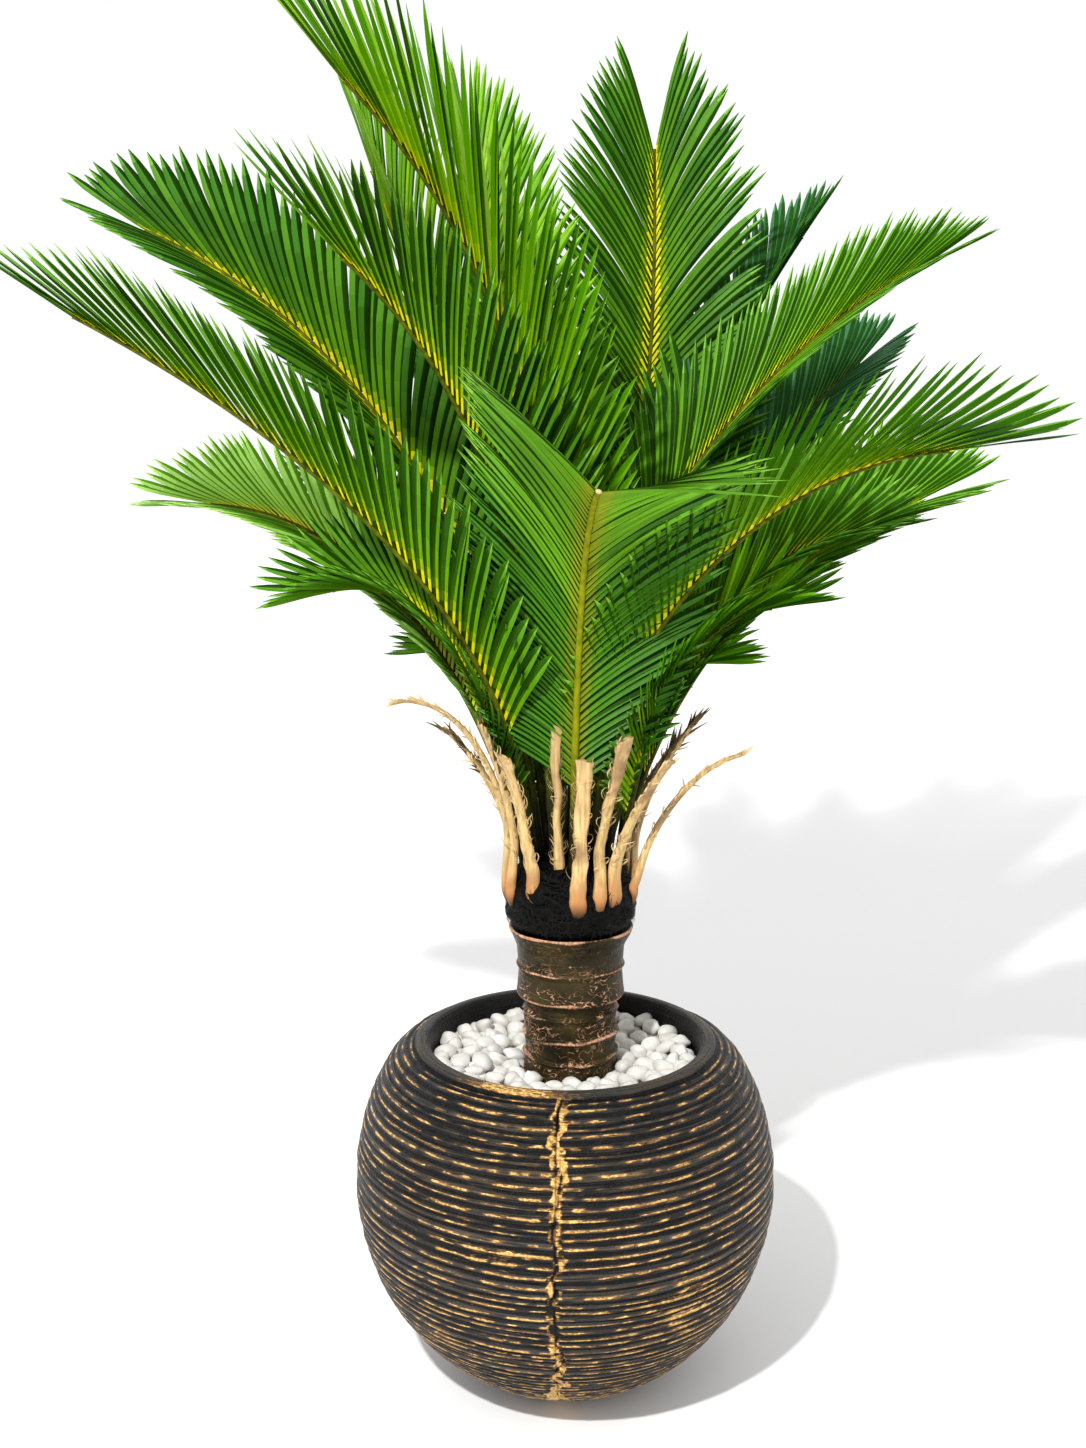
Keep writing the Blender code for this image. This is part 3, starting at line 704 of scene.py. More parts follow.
def make_pot():
    radii, heights, along, rim_radii, rim_heights = pot_outline()
    turn = pot_turns()
    azimuths = SEAM_AZIMUTH + 360 * turn
    wall, relief, rub = ribbed_wall(radii, heights, along, turn, azimuths)
    inner = ellipse_profile(
        POT_FLOOR_Z, MOUTH_UNDERCUT_Z, POT_RADIUS - POT_WALL, POT_HALF_HEIGHT - POT_WALL, INNER_ROWS
    )
    inner_radii, inner_heights = (np.append(line[::-1], end) for line, end in zip(inner, (1.0, POT_FLOOR_Z)))
    points = np.concatenate([
        turned(np.array([1.0]), np.array([0.0]), turn),
        wall,
        turned(rim_radii, rim_heights, turn),
        turned(inner_radii, inner_heights, turn),
    ])
    plain = np.zeros((1, POT_COLUMNS))
    bare = np.zeros((len(inner_radii), POT_COLUMNS))
    outside = (rim_radii > MOUTH_RADIUS + 4)[:, None]
    rim_rub = spot_total(azimuths, rim_heights[:, None], [RIM_SPOT]) * outside
    rim_relief = 0.26 + 0.42 * smoothstep(MOUTH_RADIUS + 1, MOUTH_RADIUS + 6, rim_radii)[:, None] + plain
    travelled = np.concatenate([[0.0], along[-1] - along, -2.0 * np.arange(1, len(points) - POT_ROWS)])
    values = {
        "rub": np.concatenate([plain, rub, rim_rub, bare]),
        "relief": np.concatenate([plain, relief, rim_relief, bare]),
        "place": flat_places(2 * math.pi * POT_RADIUS * turn, travelled),
    }
    add_piece("pot_ribbed", points, [pot_look()], "pot", values=values)


def pot_look():
    """Charcoal, near black in the grooves, with bronze and gold rubbed on the crests in broken dashes."""
    look = Look("pot_charcoal_and_gold", (48, 47, 48), 0.5, 0.2)
    dashes = look.noise(look.vector("place", (0.1, 0.5, 1)), 1.0, 4.0, 0.6)
    streaks = look.noise(look.vector("place", (0.014, 0.6, 1)), 1.0, 4.0)
    specks = look.noise(look.place(), 330.0)
    tone = look.noise(look.place(), 14.0)
    rubbed = look.total((dashes, 0.8), (streaks, 0.5), (specks, 0.16), look.value("rub"))
    bronze_share = look.spread(rubbed, 0.9, 1.09)
    gold_share = look.spread(rubbed, 1.1, 1.125)
    height = look.total(look.value("relief"), look.spread(streaks, 0.35, 0.65, -0.25, 0.2))
    crest = look.blend(look.spread(tone, 0.4, 0.75), (70, 67, 63), (88, 74, 54))
    charcoal = look.blend(look.spread(height, 0.35, 0.95), (12, 11, 11), crest)
    bronze = look.blend(look.total((bronze_share, 0.85)), charcoal, (146, 104, 56))
    gold = look.blend(look.spread(specks, 0.35, 0.65), (176, 126, 60), (242, 202, 124))
    look.set("Base Color", look.blend(gold_share, bronze, gold))
    look.set("Metallic", look.total((gold_share, 0.3)))
    look.set("Roughness", look.spread(gold_share, 0, 1, 0.42, 0.36))
    look.bump(look.total((streaks, 1.6), (dashes, 0.8), specks), 0.0026, 0.8)
    return look.material


# Filling


def make_soil():
    tones = ((34, 26, 20), (92, 72, 52))
    look = grained_look("soil_dark", (52, 40, 30), 0.95, 0.2, tones, (160.0, 5.0), (0.003,))
    for place in frame["nodes"]["soil"].material_slots:
        place.material = look


def scatter(spacing, chance):
    """Random places in the ring between the trunk and the mouth, none closer together than spacing."""
    found = []
    inner = SHAFT_RADIUS + 7
    outer = MOUTH_RADIUS - 7
    for _ in range(PEBBLE_TRIES):
        radius = math.sqrt(chance.uniform(inner**2, outer**2))
        angle = chance.uniform(0, 2 * math.pi)
        share = (radius - inner) / (outer - inner)
        spot = np.array([TRUNK_X * (1 - share) + radius * math.cos(angle), radius * math.sin(angle)])
        if not found or np.min(np.linalg.norm(np.array(found) - spot, axis=1)) > spacing:
            found.append(spot)
    return np.array(found)


def ball(cells):
    """Points and quads of a ball made of a cube's six faces of cells x cells."""
    step = np.tan(np.linspace(-math.pi / 4, math.pi / 4, cells + 1))
    first, second = np.meshgrid(step, step, indexing="ij")
    sides = []
    for axis in range(3):
        for sign in (-1, 1):
            side = np.empty((cells + 1, cells + 1, 3))
            side[..., axis] = sign
            side[..., (axis + 1) % 3] = first * sign
            side[..., (axis + 2) % 3] = second
            sides.append(side)
    points = unit(np.array(sides).reshape(-1, 3))
    quads = grid_quads(cells + 1, cells + 1, 6)
    _, kept, where = np.unique(np.round(points, 5), axis=0, return_index=True, return_inverse=True)
    return points[kept], where.reshape(-1)[quads]


def pebble(sphere, chance):
    """Points of one lumpy stone, turned at random."""
    radii = [chance.uniform(*limits) for limits in PEBBLE_RADII]
    lumps = 1.0
    for size, pitch in ((0.11, 2.2), (0.08, 3.5)):
        lumps = lumps + size * np.sin(sphere @ chance.normal(0, pitch, 3) + chance.uniform(0, 6))
    spin = chance.uniform(0, 2 * math.pi)
    tilt, lean = chance.normal(0, 0.3, 2)
    shape = sphere * lumps[:, None] * radii
    return shape @ (rotation(2, spin) @ rotation(0, tilt) @ rotation(1, lean)).T


def make_pebbles():
    chance = np.random.default_rng(7)
    sphere, faces = ball(PEBBLE_CELLS)
    points, quads = [], []
    for layer, depth in enumerate(PEBBLE_DEPTHS):
        for x, y in scatter(PEBBLE_SPACING + layer, chance):
            share = (math.hypot(x, y) - SHAFT_RADIUS) / (MOUTH_RADIUS - SHAFT_RADIUS)
            height = PEBBLES_AT_TRUNK_Z + (PEBBLES_AT_WALL_Z - PEBBLES_AT_TRUNK_Z) * share - depth
            stone = pebble(sphere, chance)
            quads.append(faces + len(points) * len(sphere))
            points.append(stone + [x, y, height + chance.uniform(-1.6, 1.6)])
    look = Look("pebble_white", (236, 234, 228), 0.42, 0.4)
    tone = look.spread(look.noise(look.place(), 60.0, 2.0), 0.3, 0.7)
    look.set("Base Color", look.blend(tone, (192, 188, 180), (220, 218, 213)))
    look.bump(look.noise(look.place(), 500.0), 0.0004, 0.4)
    points, quads = np.concatenate(points), np.concatenate(quads)
    add_piece("pebbles", points, [look.material], "pebble_bed", quads)


# Trunk


def corners_at(radius, height, *offsets):
    return [(radius + wider, height + higher) for wider, higher in offsets]


def tube_profile(corners, rows):
    """Radii and heights along lines through corners, evenly spaced and closed near the axis at both ends."""
    radii, heights = np.array(corners, float).T
    travelled = lengths_along(radii, heights)
    fine = np.linspace(0, travelled[-1], rows)
    radii = np.interp(fine, travelled, radii)
    heights = np.interp(fine, travelled, heights)
    return np.concatenate([[1.0], radii, [1.0]]), heights[[0, *range(rows), -1]]


def bark_look():
    """Satin olive brown bark, with a coppery pink on its raised edges and in the hatching cut into it."""
    look = Look("bark_olive_copper", (67, 58, 40), 0.42, 0.12)
    hatching = look.noise(look.vector("place", (0.09, 0.14, 1)), 1.0, 1.2, 1.0)
    engraved = look.noise(look.vector("place", (0.1, 0.42, 1)), 1.0, 1.0, 2.6)
    fine = look.noise(look.place((1, 1, 0.4)), 420.0)
    tone = look.noise(look.place(), 34.0)
    cut = look.sums("MULTIPLY", look.lines(hatching, 0.026, 0.01), look.value("scratch"))
    edges = look.spread(look.total(look.value("edge"), (fine, 0.4)), 0.55, 0.85)
    grooves = look.total((look.lines(engraved, 0.035, 0.01), 0.85))
    olive = look.blend(look.spread(tone, 0.3, 0.7), (28, 23, 10), (64, 54, 27))
    olive = look.blend(grooves, olive, (8, 7, 5))
    copper = look.blend(look.spread(fine, 0.35, 0.65), (146, 104, 76), (210, 160, 126))
    look.set("Base Color", look.blend(look.spread(look.total(cut, edges), 0.0, 1.0), olive, copper))
    look.set("Roughness", look.spread(fine, 0.3, 0.7, 0.3, 0.5))
    look.bump(look.total((fine, 0.5), (cut, 0.8)), 0.0016, 0.8)
    return look.material


def coppery_edges(turn, level, heights, edges, crease):
    """How coppery each point is: along edges, given as height, width and strength, and down the crease."""
    found = 0.4 * crease * (0.6 + 0.4 * smooth_noise(turn, level, 3, 9, 5))
    for height, width, strength in edges:
        broken = 0.62 + 0.7 * smooth_noise(turn, 0.5, 19, 1, int(height))
        lift = 1.6 * smooth_noise(turn, 0.5, 11, 1, int(height) + 1)
        found = found + strength * bell(heights + lift - height, width) * broken
    return found


def bark_piece(part, corners, rows, bumps, scratch, edges, seed, look):
    """A stretch of trunk from its outline, with bumps in mm. scratch gives how far each level is hatched."""
    radii, heights = (line[:, None] for line in tube_profile(corners, rows))
    turn = np.arange(BARK_COLUMNS) / BARK_COLUMNS
    level = (heights - heights.min()) / np.ptp(heights)
    crease = bell((turn - 0.006) * 2 * math.pi * SHAFT_RADIUS, 1.1)
    relief = smooth_noise(turn, level, 13, 7, seed) + 0.6 * smooth_noise(turn, level, 41, 17, seed + 1)
    relief = bumps * relief - 1.4 * crease
    waves = smooth_noise(turn, level, 7, 3, 77) + 0.5 * smooth_noise(turn, level, 23, 5, 78)
    waves = BARK_WAVE * waves * np.sin(math.pi * level) ** 0.5
    outside = radii >= 0.9 * radii.max()
    points = turned(radii + relief * outside, heights + waves * outside, BARK_COLUMNS, TRUNK_X)
    patches = 0.45 + 1.1 * smooth_noise(turn, level, 13, 6, seed + 2)
    values = {
        "edge": coppery_edges(turn, level, heights, edges, crease),
        "scratch": np.clip(scratch(level) * patches, 0, 1),
        "place": flat_places(2 * math.pi * SHAFT_RADIUS * turn, heights[:, 0]),
    }
    add_piece(part + "_bark", points, [look], "trunk_" + part, values=values)


def make_shaft(look):
    """The lower trunk, with a ledge below each ring."""
    corners = corners_at(SHAFT_RADIUS, SOIL_TOP_Z + GAP, (-2.5, 0))
    for height in SHAFT_RING_HEIGHTS:
        corners += corners_at(SHAFT_RADIUS, height, (-1.0, -4), (1.2, 0), (-2.8, 2))
    corners += corners_at(SHAFT_RADIUS, SHAFT_TOP_Z, (-1.0, 0))
    rings_round = [(height, 1.7, 0.85) for height in SHAFT_RING_HEIGHTS]
    bark_piece("shaft", corners, 100, 1.0, lambda level: 1.6, rings_round, 10, look)


def make_sleeve(look):
    """The upper trunk, with a swollen foot, a ledge halfway and a flared lip."""
    start = SHAFT_TOP_Z + GAP
    middle = (start + SLEEVE_TOP_Z) / 2
    lip = ((-2.5, -6), (0, -1), (-1, 0), (-3, -0.5), (-9, -8))
    corners = [
        *corners_at(SLEEVE_RADIUS, start, (-7, 3), (-0.8, 0.2), (0.4, 3), (-0.5, 8)),
        *corners_at(SLEEVE_RADIUS, middle, (-2.0, -9), (0.8, -4), (-1.2, -2)),
        *corners_at(SLEEVE_RADIUS, SLEEVE_TOP_Z, (0, -20)),
        *corners_at(SLEEVE_LIP_RADIUS, SLEEVE_TOP_Z, *lip),
    ]
    edges = [(start + 2, 1.6, 0.95), (middle - 4, 1.2, 0.6), (middle + 7, 0.9, 0.5)]
    edges.append((SLEEVE_TOP_Z, 2.4, 1.25))

    def hatching(level):
        return 0.15 + 0.9 * smoothstep(0.6, 0.3, level)

    bark_piece("sleeve", corners, 90, 0.8, hatching, edges, 11, look)


def collar_body(radii, heights):
    """Lumps parted by deep folds."""
    turn = np.arange(COLLAR_COLUMNS) / COLLAR_COLUMNS
    level = np.linspace(0, 1, len(radii))[:, None]
    folds = smooth_noise(turn + 0.3 * level, level, 19, 9, 43)
    lumps = 2.6 * smooth_noise(turn, level, 15, 9, 41) - 5.5 * bell(folds, 0.14) + 1.2
    lumps = (lumps + smooth_noise(turn, level, 55, 26, 42)) * smoothstep(0.1, 0.25, level) - 1.0
    rise = 9 * smooth_noise(turn, level, 17, 9, 44) * smoothstep(0.5, 0.75, level)
    tones = ((1, 1, 1), (13, 12, 11))
    look = grained_look("collar_black_fibre", (18, 17, 16), 0.5, 0.06, tones, (300.0, 4.0), (0.002, 0.8), 0.5)
    points = turned(radii[:, None] + lumps, heights[:, None] + rise, COLLAR_COLUMNS, TRUNK_X, 0.0)
    add_piece("collar_wool", points, [look], "trunk_collar")


def collar_fibres(radii, heights, start):
    """Short fibres that lie on the collar's body and follow it round."""
    chance = np.random.default_rng(19)
    count = COLLAR_FIBRES
    azimuth = chance.uniform(0, 2 * math.pi, count)
    height = chance.uniform(start + 14, COLLAR_TOP_Z + 22, count)
    radius = np.interp(height, heights[2:], radii[2:]) + chance.uniform(-0.5, 1.2, count)
    outward = outwards(azimuth)
    lean = chance.normal(0, 0.9, count)[:, None]
    heading = unit(np.cos(lean) * UP + np.sin(lean) * outwards(azimuth + math.pi / 2))
    along = np.cross(outward, heading)[:, None]
    length = chance.uniform(8, 24, count)[:, None]
    steps = np.linspace(-0.5, 0.5, 5)
    curl = chance.normal(0, 4, count)[:, None] * steps**2
    fall = length**2 / (2 * COLLAR_RADIUS) * steps**2 * np.abs(np.sin(lean))
    roots = radius[:, None] * outward + height[:, None] * UP + [TRUNK_X, 0, 0]
    paths = roots[:, None] + heading[:, None] * (length * steps)[..., None]
    paths = paths + along * curl[..., None] - outward[:, None] * fall[..., None]
    across, out = strip_frames(paths, along)
    points = ribbons(paths, across, out, np.tile([0.12, 0.3, 0.35, 0.3, 0.12], (count, 1)), (0, 0.6, 0))
    hair = grained_look("fibre_black", (20, 19, 17), 0.5, 0.12, ((3, 3, 3), (19, 18, 15)), (90.0, 2.0))
    add_piece("collar_fibres", points, [hair], "trunk_collar")


def make_collar():
    """The black woolly top of the trunk, as a lumpy body and many short fibres that lie on it."""
    start = SLEEVE_TOP_Z - 7
    corners = [
        *corners_at(SLEEVE_LIP_RADIUS, start, (-9.5, 0), (-7, 5)),
        *corners_at(COLLAR_RADIUS, start, (-4, 10), (-1, 16), (0, 26)),
        *corners_at(COLLAR_RADIUS, COLLAR_TOP_Z, (0, -12), (-3, 2), (-13, 17), (-28, 25), (-48, 28)),
    ]
    radii, heights = tube_profile(corners, 90)
    collar_body(radii, heights)
    collar_fibres(radii, heights, start)


def make_trunk():
    look = bark_look()
    make_shaft(look)
    make_sleeve(look)
    make_collar()


# Curves of fronds and stubs, by the same rule as their solids


def arch(shape, shares):
    """Points, forward, upper-face and side directions at shares (0 to 1) of the length of a frond's or a
    stub's midline, and that length. It is a cubic curve in the upright plane of its azimuth."""
    azimuth, leave, arrive = np.radians([shape.azimuth, shape.leave, shape.arrive])
    start = np.array([shape.seat, COLLAR_TOP_Z + GAP])
    end = np.array([shape.reach, shape.height])
    pull = CURVE_PULL * np.linalg.norm(end - start)
    first = start + pull * np.array([math.cos(leave), math.sin(leave)])
    second = end - pull * np.array([math.cos(arrive), math.sin(arrive)])
    fine = np.linspace(0, 1, 121)[:, None]
    left = 1 - fine
    curve = left**3 * start + 3 * left**2 * fine * first + 3 * left * fine**2 * second + fine**3 * end
    travelled = lengths_along(*curve.T)
    wanted = np.asarray(shares, float) * travelled[-1]
    reach, height, run, climb = (
        np.interp(wanted, travelled, line)[:, None] for line in (*curve.T, *np.gradient(curve, axis=0).T)
    )
    outward = outwards(azimuth)
    points = reach * outward + height * UP + np.array([TRUNK_X, 0.0, 0.0])
    forward = unit(run * outward + climb * UP)
    side = np.tile(np.cross(outward, UP), (len(points), 1))
    return points, forward, np.cross(side, forward), side, travelled[-1]


def frond_frames(frond, shares):
    """The midline with its frame turned about the rib by the frond's roll, fully from 0.625 of its length."""
    points, forward, face, side, _ = arch(frond, shares)
    roll = (np.radians(frond.roll) * np.clip(shares * 1.6, 0, 1))[:, None]
    turn, lean = np.cos(roll), np.sin(roll)
    return points, forward, turn * face + lean * side, turn * side - lean * face


# Dead leaf stubs


def whiskers(roots, headings, wide, lengths, curls, half_width):
    """Points of thin curling strips that taper to a point, curls being the turn of each in radians."""
    count = WHISKER_STEPS
    path = [roots]
    normal = np.cross(headings, wide)
    upright = np.cross(normal, headings)
    for step in range(count):
        angle = (curls * (step + 0.5) / count)[:, None]
        heading = np.cos(angle) * headings + np.sin(angle) * upright
        path.append(path[-1] + heading * (lengths / count)[:, None])
    paths = np.stack(path, axis=1)
    across, out = strip_frames(paths, normal[:, None])
    taper = np.linspace(1, 0.1, count + 1) * np.broadcast_to(half_width, len(lengths))[:, None]
    return ribbons(paths, across, out, taper, (0.0, 0.35, 0.0))


def dry_look():
    """Dry tan fibre, rusty at the foot and browner in patches and higher up."""
    look = Look("stub_dry_tan", (200, 169, 107), 0.62, 0.3)
    grain = look.noise(look.place((1, 1, 0.12)), 330.0, 4.0)
    patches = look.noise(look.place(), 26.0)
    height = look.height()
    tan = look.blend(look.spread(grain, 0.3, 0.7), (164, 132, 80), (222, 192, 132))
    tan = look.blend(look.spread(patches, 0.5, 0.68), tan, (142, 110, 74))
    tan = look.blend(look.spread(height, 0.58, 0.7, 0.0, 0.6), tan, (158, 124, 86))
    rusty = look.blend(look.spread(height, 0.488, 0.504), (60, 40, 24), (176, 116, 62))
    look.set("Base Color", look.blend(look.spread(height, 0.496, 0.535), rusty, tan))
    look.bump(grain, 0.0014, 0.6)
    return look.material


def stub_frames(stub, shares):
    """The stub's midline and frame, its foot drawn out over the collar and drifted sideways."""
    points, forward, face, side, _ = arch(stub, shares)
    low = 1 - smoothstep(0.0, 0.4, shares)[:, None]
    out = max(FOOT_RADIUS - 1.5 - stub.seat, 0) if stub.seat > 45 else 0.0
    shift = low**2 * outwards(math.radians(stub.azimuth)) * out + low * np.array([stub.drift, 0.0, 0.0])
    return points + shift, forward, face, side


def stub_midline(stub):
    """A strap's midline, face, side, width and depth from its foot on the collar's side, and its heading at
    the end."""
    steps = FOOT_ROWS
    shares = np.linspace(0, 1, STUB_ROWS)
    points, forward, face, side = stub_frames(stub, shares)
    foot, top = stub.foot, stub.top
    narrowing = [foot * 0.9, foot * 0.72, foot * 0.62, top, top * 1.3]
    widths = np.interp(shares, [0, 0.12, 0.35, 0.85, 1], narrowing)
    depths = np.interp(shares, [0, 0.2, 0.7, 1], [10.0, 8.5, 6.0, 3.4])
    fall = np.linspace(1, 0, steps, endpoint=False)[:, None]
    outward = outwards(math.radians(stub.azimuth))
    below = points[0] + fall * [0, 0, FOOT_Z - COLLAR_TOP_Z - GAP] + outward * 1.5 * np.sin(math.pi * fall)
    return (
        np.concatenate([below, points]),
        np.concatenate([np.tile(-outward, (steps, 1)), face]),
        np.concatenate([np.tile(side[0], (steps, 1)), side]),
        np.concatenate([foot * np.linspace(0.3, 0.9, steps, endpoint=False) ** 0.6, widths])[:, None],
        np.concatenate([np.linspace(3.0, 10.0, steps, endpoint=False), depths])[:, None],
        forward[-1],
    )


def stub_body(stub, seed):
    """Points of the strap, fibrous on its faces and cut on a slant at its end."""
    points, face, side, widths, depths, ahead = stub_midline(stub)
    along = np.linspace(0, 1, len(points))[:, None]
    turn = np.arange(STUB_COLUMNS) / STUB_COLUMNS
    angle = 2 * math.pi * turn
    wide, deep = (np.sign(line) * np.abs(line) ** 0.8 for line in (np.cos(angle), np.sin(angle)))
    hollow = np.where(deep > 0, 0.25 * (wide**2 - 1), 0)
    grain = 1 + 0.1 * smooth_noise(turn, along, 15, 6, seed)
    wave = 1.6 * smooth_noise(0.0, along, 1, 8, seed + 1)
    knots = 1 + 0.16 * smooth_noise(0.0, along, 1, 15, seed + 2)
    across = wide * grain * knots * widths / 2 + wave
    ring = rings(points, side, face, across, (deep + hollow) * grain * depths / 2)
    hand = 1 if seed % 2 else -1
    ring[-1] -= ahead * stub.top * 0.6 * np.clip(hand * wide, 0, 1)[:, None]
    first = resized(ring[0], 0.3, -UP * 2.5)
    closing = resized(ring[-1], 0.05, -ahead * 1.5)
    return np.concatenate([first[None], ring, closing[None]])


def tufts(stub, shares, hand, off, lean, lift, lengths, curls, half_width):
    """Strips from places at shares of a stub's length and off to the side that hand gives, -1 or 1. They lean
    from the stub's heading to that side and lift to its face."""
    points, forward, face, side = stub_frames(stub, shares)
    beside = hand * side
    heading = unit(forward * np.cos(lean) + beside * np.sin(lean) + face * lift)
    return whiskers(points + beside * off, heading, side, lengths, curls, half_width)


def torn_edge(stub, hand, chance):
    """Torn leaflet bases along one edge."""
    count = int(chance.integers(13, 18))
    shares = np.sort(chance.uniform(0.25, 0.99, count))
    foot, top = stub.foot, stub.top
    widths = np.interp(shares, [0, 0.35, 0.85, 1], [foot * 0.9, foot * 0.62, top, top * 1.3])
    lean = chance.uniform(0.2, 0.7, (count, 1))
    lift = chance.normal(0.1, 0.15, (count, 1))
    lengths = chance.uniform(5, 13, count)
    curls = -hand * chance.uniform(-0.6, 1.2, count)
    off = (widths / 2 - 1.0)[:, None]
    return tufts(stub, shares, hand, off, lean, lift, lengths, curls, chance.uniform(1.2, 2.4, count))


def curling_edge(stub, hand, chance):
    """Longer fibres that curl round beside one edge."""
    count = 10
    shares = chance.uniform(0.12, 0.8, count)
    lift = chance.normal(0, 0.3, (count, 1))
    lengths = chance.uniform(14, 32, count)
    curls = -hand * chance.uniform(1.8, 3.8, count)
    return tufts(stub, shares, hand, stub.foot * 0.32, math.acos(0.6), lift, lengths, curls, 0.95)


def dead_leaflets(stub, longest, chance):
    """Dead leaflets on both sides of a stub's upper part."""
    count = stub.dead
    shares = chance.uniform(0.55, 1.0, count)
    hand = np.where(chance.uniform(size=(count, 1)) < 0.5, -1.0, 1.0)
    lean = chance.uniform(0.15, 0.6, (count, 1))
    lift = chance.normal(0.1, 0.2, (count, 1))
    lengths = chance.uniform(*longest, count)
    curls = chance.normal(0, 0.4, count)
    return tufts(stub, shares, hand, 0.0, lean, lift, lengths, curls, chance.uniform(1.6, 2.8, count))


def stub_fringe(stub, seed):
    """Torn bases and curling fibres along both edges of a stub, and dead leaflets on some, brown or tan."""
    chance = np.random.default_rng(seed)
    parts = []
    for hand in (-1, 1):
        parts.append((torn_edge(stub, hand, chance), 0))
        parts.append((curling_edge(stub, hand, chance), 0))
    if stub.dead:
        brown = stub.top > 5
        parts.append((dead_leaflets(stub, (14, 32) if brown else (9, 18), chance), int(brown)))
    return joined(parts)


def make_stubs():
    dry = dry_look()
    tan_tones = ((168, 132, 84), (226, 200, 148))
    brown_tones = ((50, 40, 26), (128, 104, 66))
    looks = [
        grained_look("stub_frayed_edge", (206, 176, 122), 0.7, 0.3, tan_tones, (120.0, 2.0)),
        grained_look("leaflet_dead_brown", (78, 62, 40), 0.7, 0.3, brown_tones, (90.0, 2.0)),
    ]
    for index, stub in enumerate(STUBS):
        add_piece(stub.name + "_strap", stub_body(stub, 60 + index), [dry], stub.name)
        points, quads, shades = stub_fringe(stub, 90 + index)
        add_piece(stub.name + "_fringe", points, looks, stub.name, quads, shades)


# Fronds


def leaf_looks():
    """For each tint, its looks from root to tip for a leaflet's lit parts and then for its parts in painted
    shade, darker copies of the lit colours.
    """
    looks = {}
    for tint, colours in TINTS.items():
        shaded = [
            tuple(SHADED[tint] * part * tone for part, tone in zip(colour, SHADED_TONE)) for colour in colours
        ]
        looks[tint] = []
        # The shaded side is painted shade: darker copies of the lit colours, with a dark green root
        for side, gloss, shades in (("lit", 0.12, colours), ("shaded", 0.03, [SHADED_ROOT, *shaded[1:]])):
            for place, colour in zip(STRETCHES, shades):
                look = Look("_".join(("leaf", tint, place, side)), colour, 0.42, gloss)
                look.bump(look.noise(look.place(), 380.0, 2.0), 0.0006, 0.3)
                looks[tint].append(look.material)
    return looks


def rib_look(name, dark, light):
    """A streaked rib, painted dark brown at its foot as painted shade."""
    look = Look(name, light, 0.5, 0.06)
    streak = look.noise(look.place((1, 1, 0.3)), 160.0)
    green = look.blend(look.spread(streak, 0.3, 0.7), dark, light)
    # Painted shade: below about 0.6 m the rib turns near black, as if shaded by the crown
    look.set("Base Color", look.blend(look.spread(look.height(), 0.56, 0.66), (30, 28, 12), green))
    look.bump(streak, 0.0008, 0.5)
    return look.material


def rib_looks():
    """Ribs are olive, a darker green in the blue fronds and yellower in the plain front one, which ends in a
    pale cut."""
    pale = ((168, 150, 96), (222, 208, 160))
    return {
        "olive": rib_look("rib_olive", (42, 52, 8), (98, 104, 12)),
        "blue": rib_look("rib_blue", (34, 56, 30), (60, 88, 44)),
        "plain": rib_look("rib_yellow", (104, 112, 10), (148, 146, 16)),
        "cut": grained_look("rib_cut_end", (206, 190, 140), 0.6, 0.2, pale, (700.0, 2.0), (0.0006, 0.4)),
    }


def leaflet_midlines(frond, along, hand, angle_shift, tilt):
    """Midlines of the leaflets on one side that leave the rib at these shares of its leafy part."""
    points, forward, face, side = frond_frames(frond, BARE_STALK + (1 - BARE_STALK) * along)
    first, middle, last = ANGLE_FROM_RIB
    angles = (first, middle, max(last, FORK_SHARE * frond.fork), frond.fork)
    angle = np.radians(np.interp(along, ANGLE_STOPS, angles)) * frond.spread
    angle = (angle * (1 + angle_shift))[:, None]
    leaf = np.interp(along, LENGTH_STOPS, (*LENGTHS_ALONG_RIB, frond.tip)) * LEAFLET_LENGTH * frond.leaf
    path = [points + hand * side * 1.2 + face * 0.8]
    for low, high in zip(LEAFLET_STOPS[:-1], LEAFLET_STOPS[1:]):
        share = (low + high) / 2
        rise = math.radians((ANGLE_OF_V[0] + (ANGLE_OF_V[1] - ANGLE_OF_V[0]) * share) * frond.rise)
        rise = rise + tilt[:, None]
        bend = angle * (0.75 + 0.4 * share)
        across = np.cos(rise) * hand * side + np.sin(rise) * face
        heading = np.cos(bend) * forward + np.sin(bend) * across
        path.append(path[-1] + heading * leaf[:, None] * (high - low))
    return np.stack(path, axis=1), forward, face


def leaflet_half_widths(frond, paths):
    """Half widths that nearly close the gap between each leaflet and the next, all along them."""
    heading = unit(np.gradient(paths, axis=1))[:-1]
    apart = np.diff(paths, axis=0)
    apart = apart - heading * np.sum(apart * heading, axis=-1, keepdims=True)
    spacing = np.linalg.norm(apart, axis=-1)
    spacing = np.concatenate([spacing, spacing[-1:]])
    low, high = (limit * frond.broad for limit in LEAFLET_HALF_WIDTHS)
    return np.clip(0.5 * LEAFLET_COVER * spacing, low, high) * np.array(LEAFLET_WIDTHS)


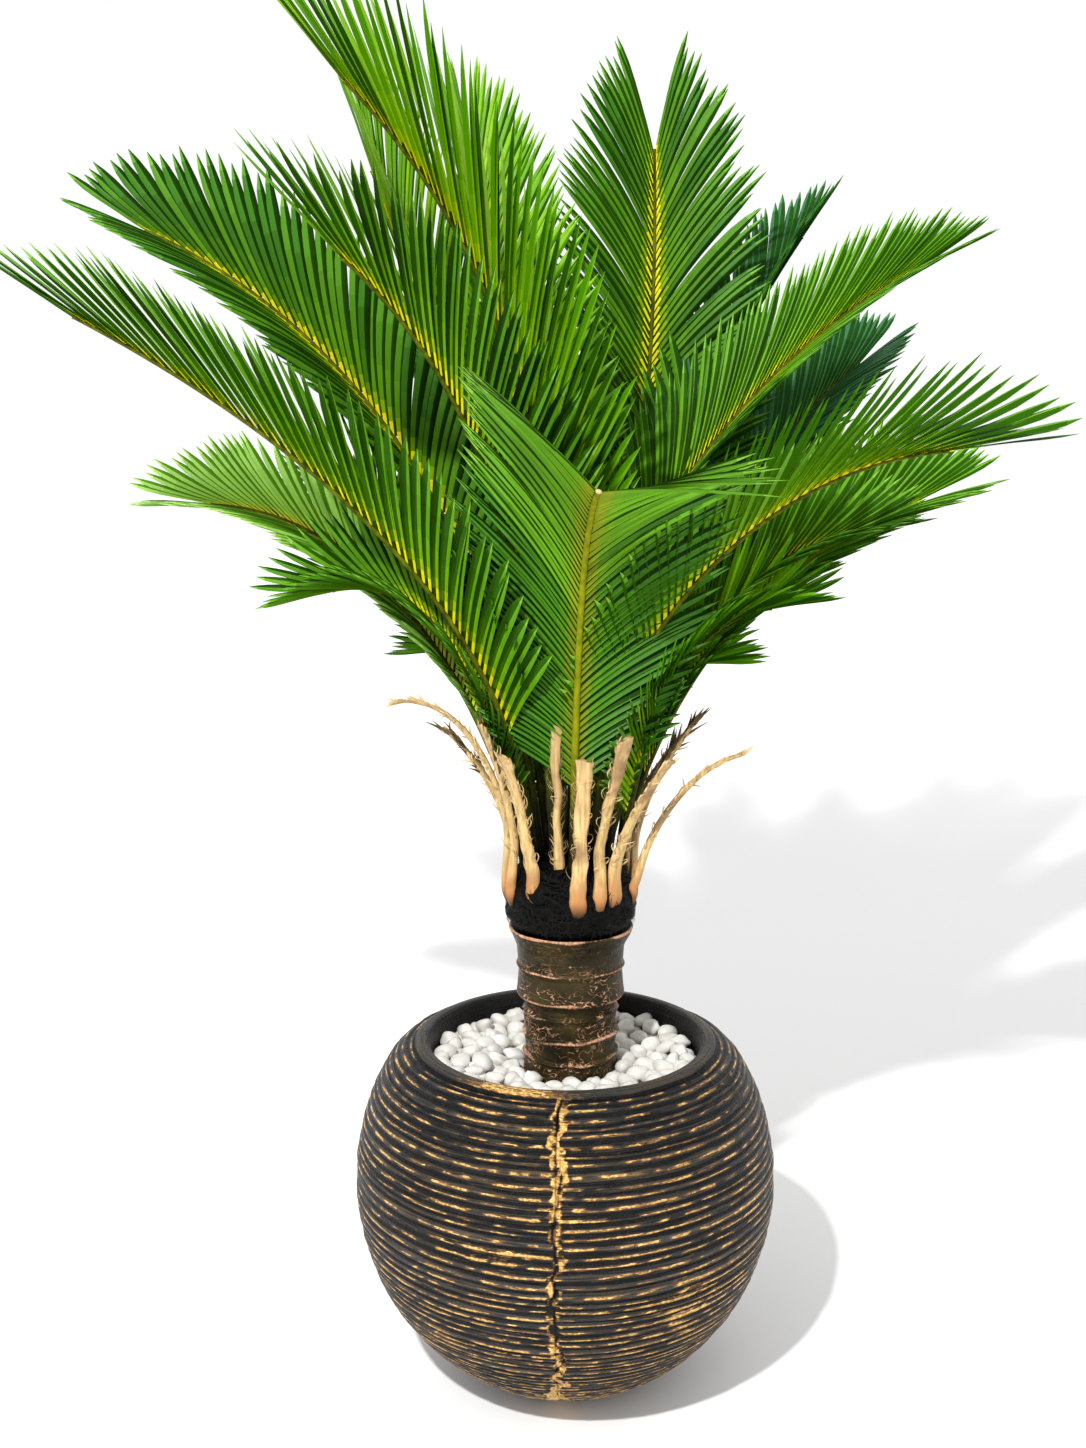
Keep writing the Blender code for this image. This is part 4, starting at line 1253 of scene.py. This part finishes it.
def leaflet_strips(frond, hand, chance):
    """Points of all the leaflets on one side of a frond, and each one's share of the leafy rib."""
    length = arch(frond, [0.0])[-1]
    count = int(round(length * (1 - BARE_STALK) / (LEAFLET_PITCH * frond.broad)))
    even = (np.arange(count) + 0.5) / count
    nothing = np.zeros(count)
    widths = leaflet_half_widths(frond, leaflet_midlines(frond, even, hand, nothing, nothing)[0])
    along = np.clip(even + chance.uniform(-0.15, 0.15, count) / count, 0, 1)
    angle_shift, tilt = chance.normal(0, 0.025, (2, count))
    paths, forward, face = leaflet_midlines(frond, along, hand, angle_shift, tilt)
    stretch = np.clip(1 + chance.normal(0, 0.045, count), 0.86, 1.06)[:, None, None]
    paths = paths[:, :1] + (paths - paths[:, :1]) * stretch
    wide, thick = strip_frames(paths, forward[:, None])
    thick = thick * np.where(np.sum(thick * face[:, None], axis=-1, keepdims=True) < 0, -1.0, 1.0)
    twist = np.radians(LEAFLET_TWIST + chance.normal(0, 3, count))[:, None, None]
    across = np.cos(twist) * wide + np.sin(twist) * thick
    out = np.cos(twist) * thick - np.sin(twist) * wide
    return ribbons(paths, across, out, widths, ACROSS_LIFT), along


def leaflet_shades(frond, along, dark, seed, chance):
    """Each face's place in the frond's looks. Its two tints lie in patches, or one above the other, and dark
    picks the quarters that take the painted shade looks.
    """
    patches = smooth_noise(along, 0.5, 9, 1, seed)
    second = 0.6 * patches + chance.normal(0, 0.5, len(along)) > 0.15
    if frond.tints[0] in GRADED_TINTS:
        second = along + 0.15 * patches + chance.normal(0, 0.08, len(along)) < 0.55
    steps = np.array(LEAFLET_SHADES)[:, None] + 2 * len(STRETCHES) * second[:, None, None]
    return (steps + len(STRETCHES) * np.array(dark)).ravel()


def frond_leaflets(frond, index, looks):
    chance = np.random.default_rng(300 + index)
    sides, shades = [], []
    for hand, dark in zip((-1, 1), frond.dark):
        strips, along = leaflet_strips(frond, hand, chance)
        sides.append(strips)
        shades.append(leaflet_shades(frond, along, dark, 500 + 2 * index + hand, chance))
    points, shades = np.concatenate(sides), np.concatenate(shades)
    tinted = [look for tint in frond.tints for look in looks[tint]]
    add_piece("leaflets_" + frond.name, points, tinted, "frond_" + frond.name, shades=shades)


def frond_rib(frond, looks):
    """The stalk and rib in one, with a blunt end that is cut and pale on the plain front frond."""
    shares = np.linspace(0, 1, RIB_ROWS)
    middle, forward, face, side = frond_frames(frond, shares)
    widths, depths = (np.interp(shares, RIB_STOPS, line)[:, None] / 2 for line in (RIB_WIDTHS, RIB_DEPTHS))
    angle = 2 * math.pi * np.arange(RIB_COLUMNS) / RIB_COLUMNS
    ring = rings(middle, side, face, np.cos(angle) * widths, np.sin(angle) * depths)
    wider = resized(ring[-1], 1.25, forward[-1] * 2.5)
    closing = resized(ring[-1], 0.1, forward[-1] * 3)
    cut = np.zeros((RIB_ROWS + 1, RIB_COLUMNS), int)
    cut[-2:] = frond.tints[0] == "plain"
    points = np.concatenate([ring, wider[None], closing[None]])
    both = [looks.get(frond.tints[0], looks["olive"]), looks["cut"]]
    add_piece("rib_" + frond.name, points, both, "frond_" + frond.name, shades=cut.ravel())


def make_fronds():
    leaves = leaf_looks()
    ribs = rib_looks()
    for index, frond in enumerate(FRONDS):
        frond_leaflets(frond, index, leaves)
        frond_rib(frond, ribs)


for leftover in list(bpy.data.objects):
    bpy.data.objects.remove(leftover, do_unlink=True)
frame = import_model()
make_camera()
make_floor()
make_lights()
make_pot()
make_soil()
make_pebbles()
make_trunk()
make_stubs()
make_fronds()
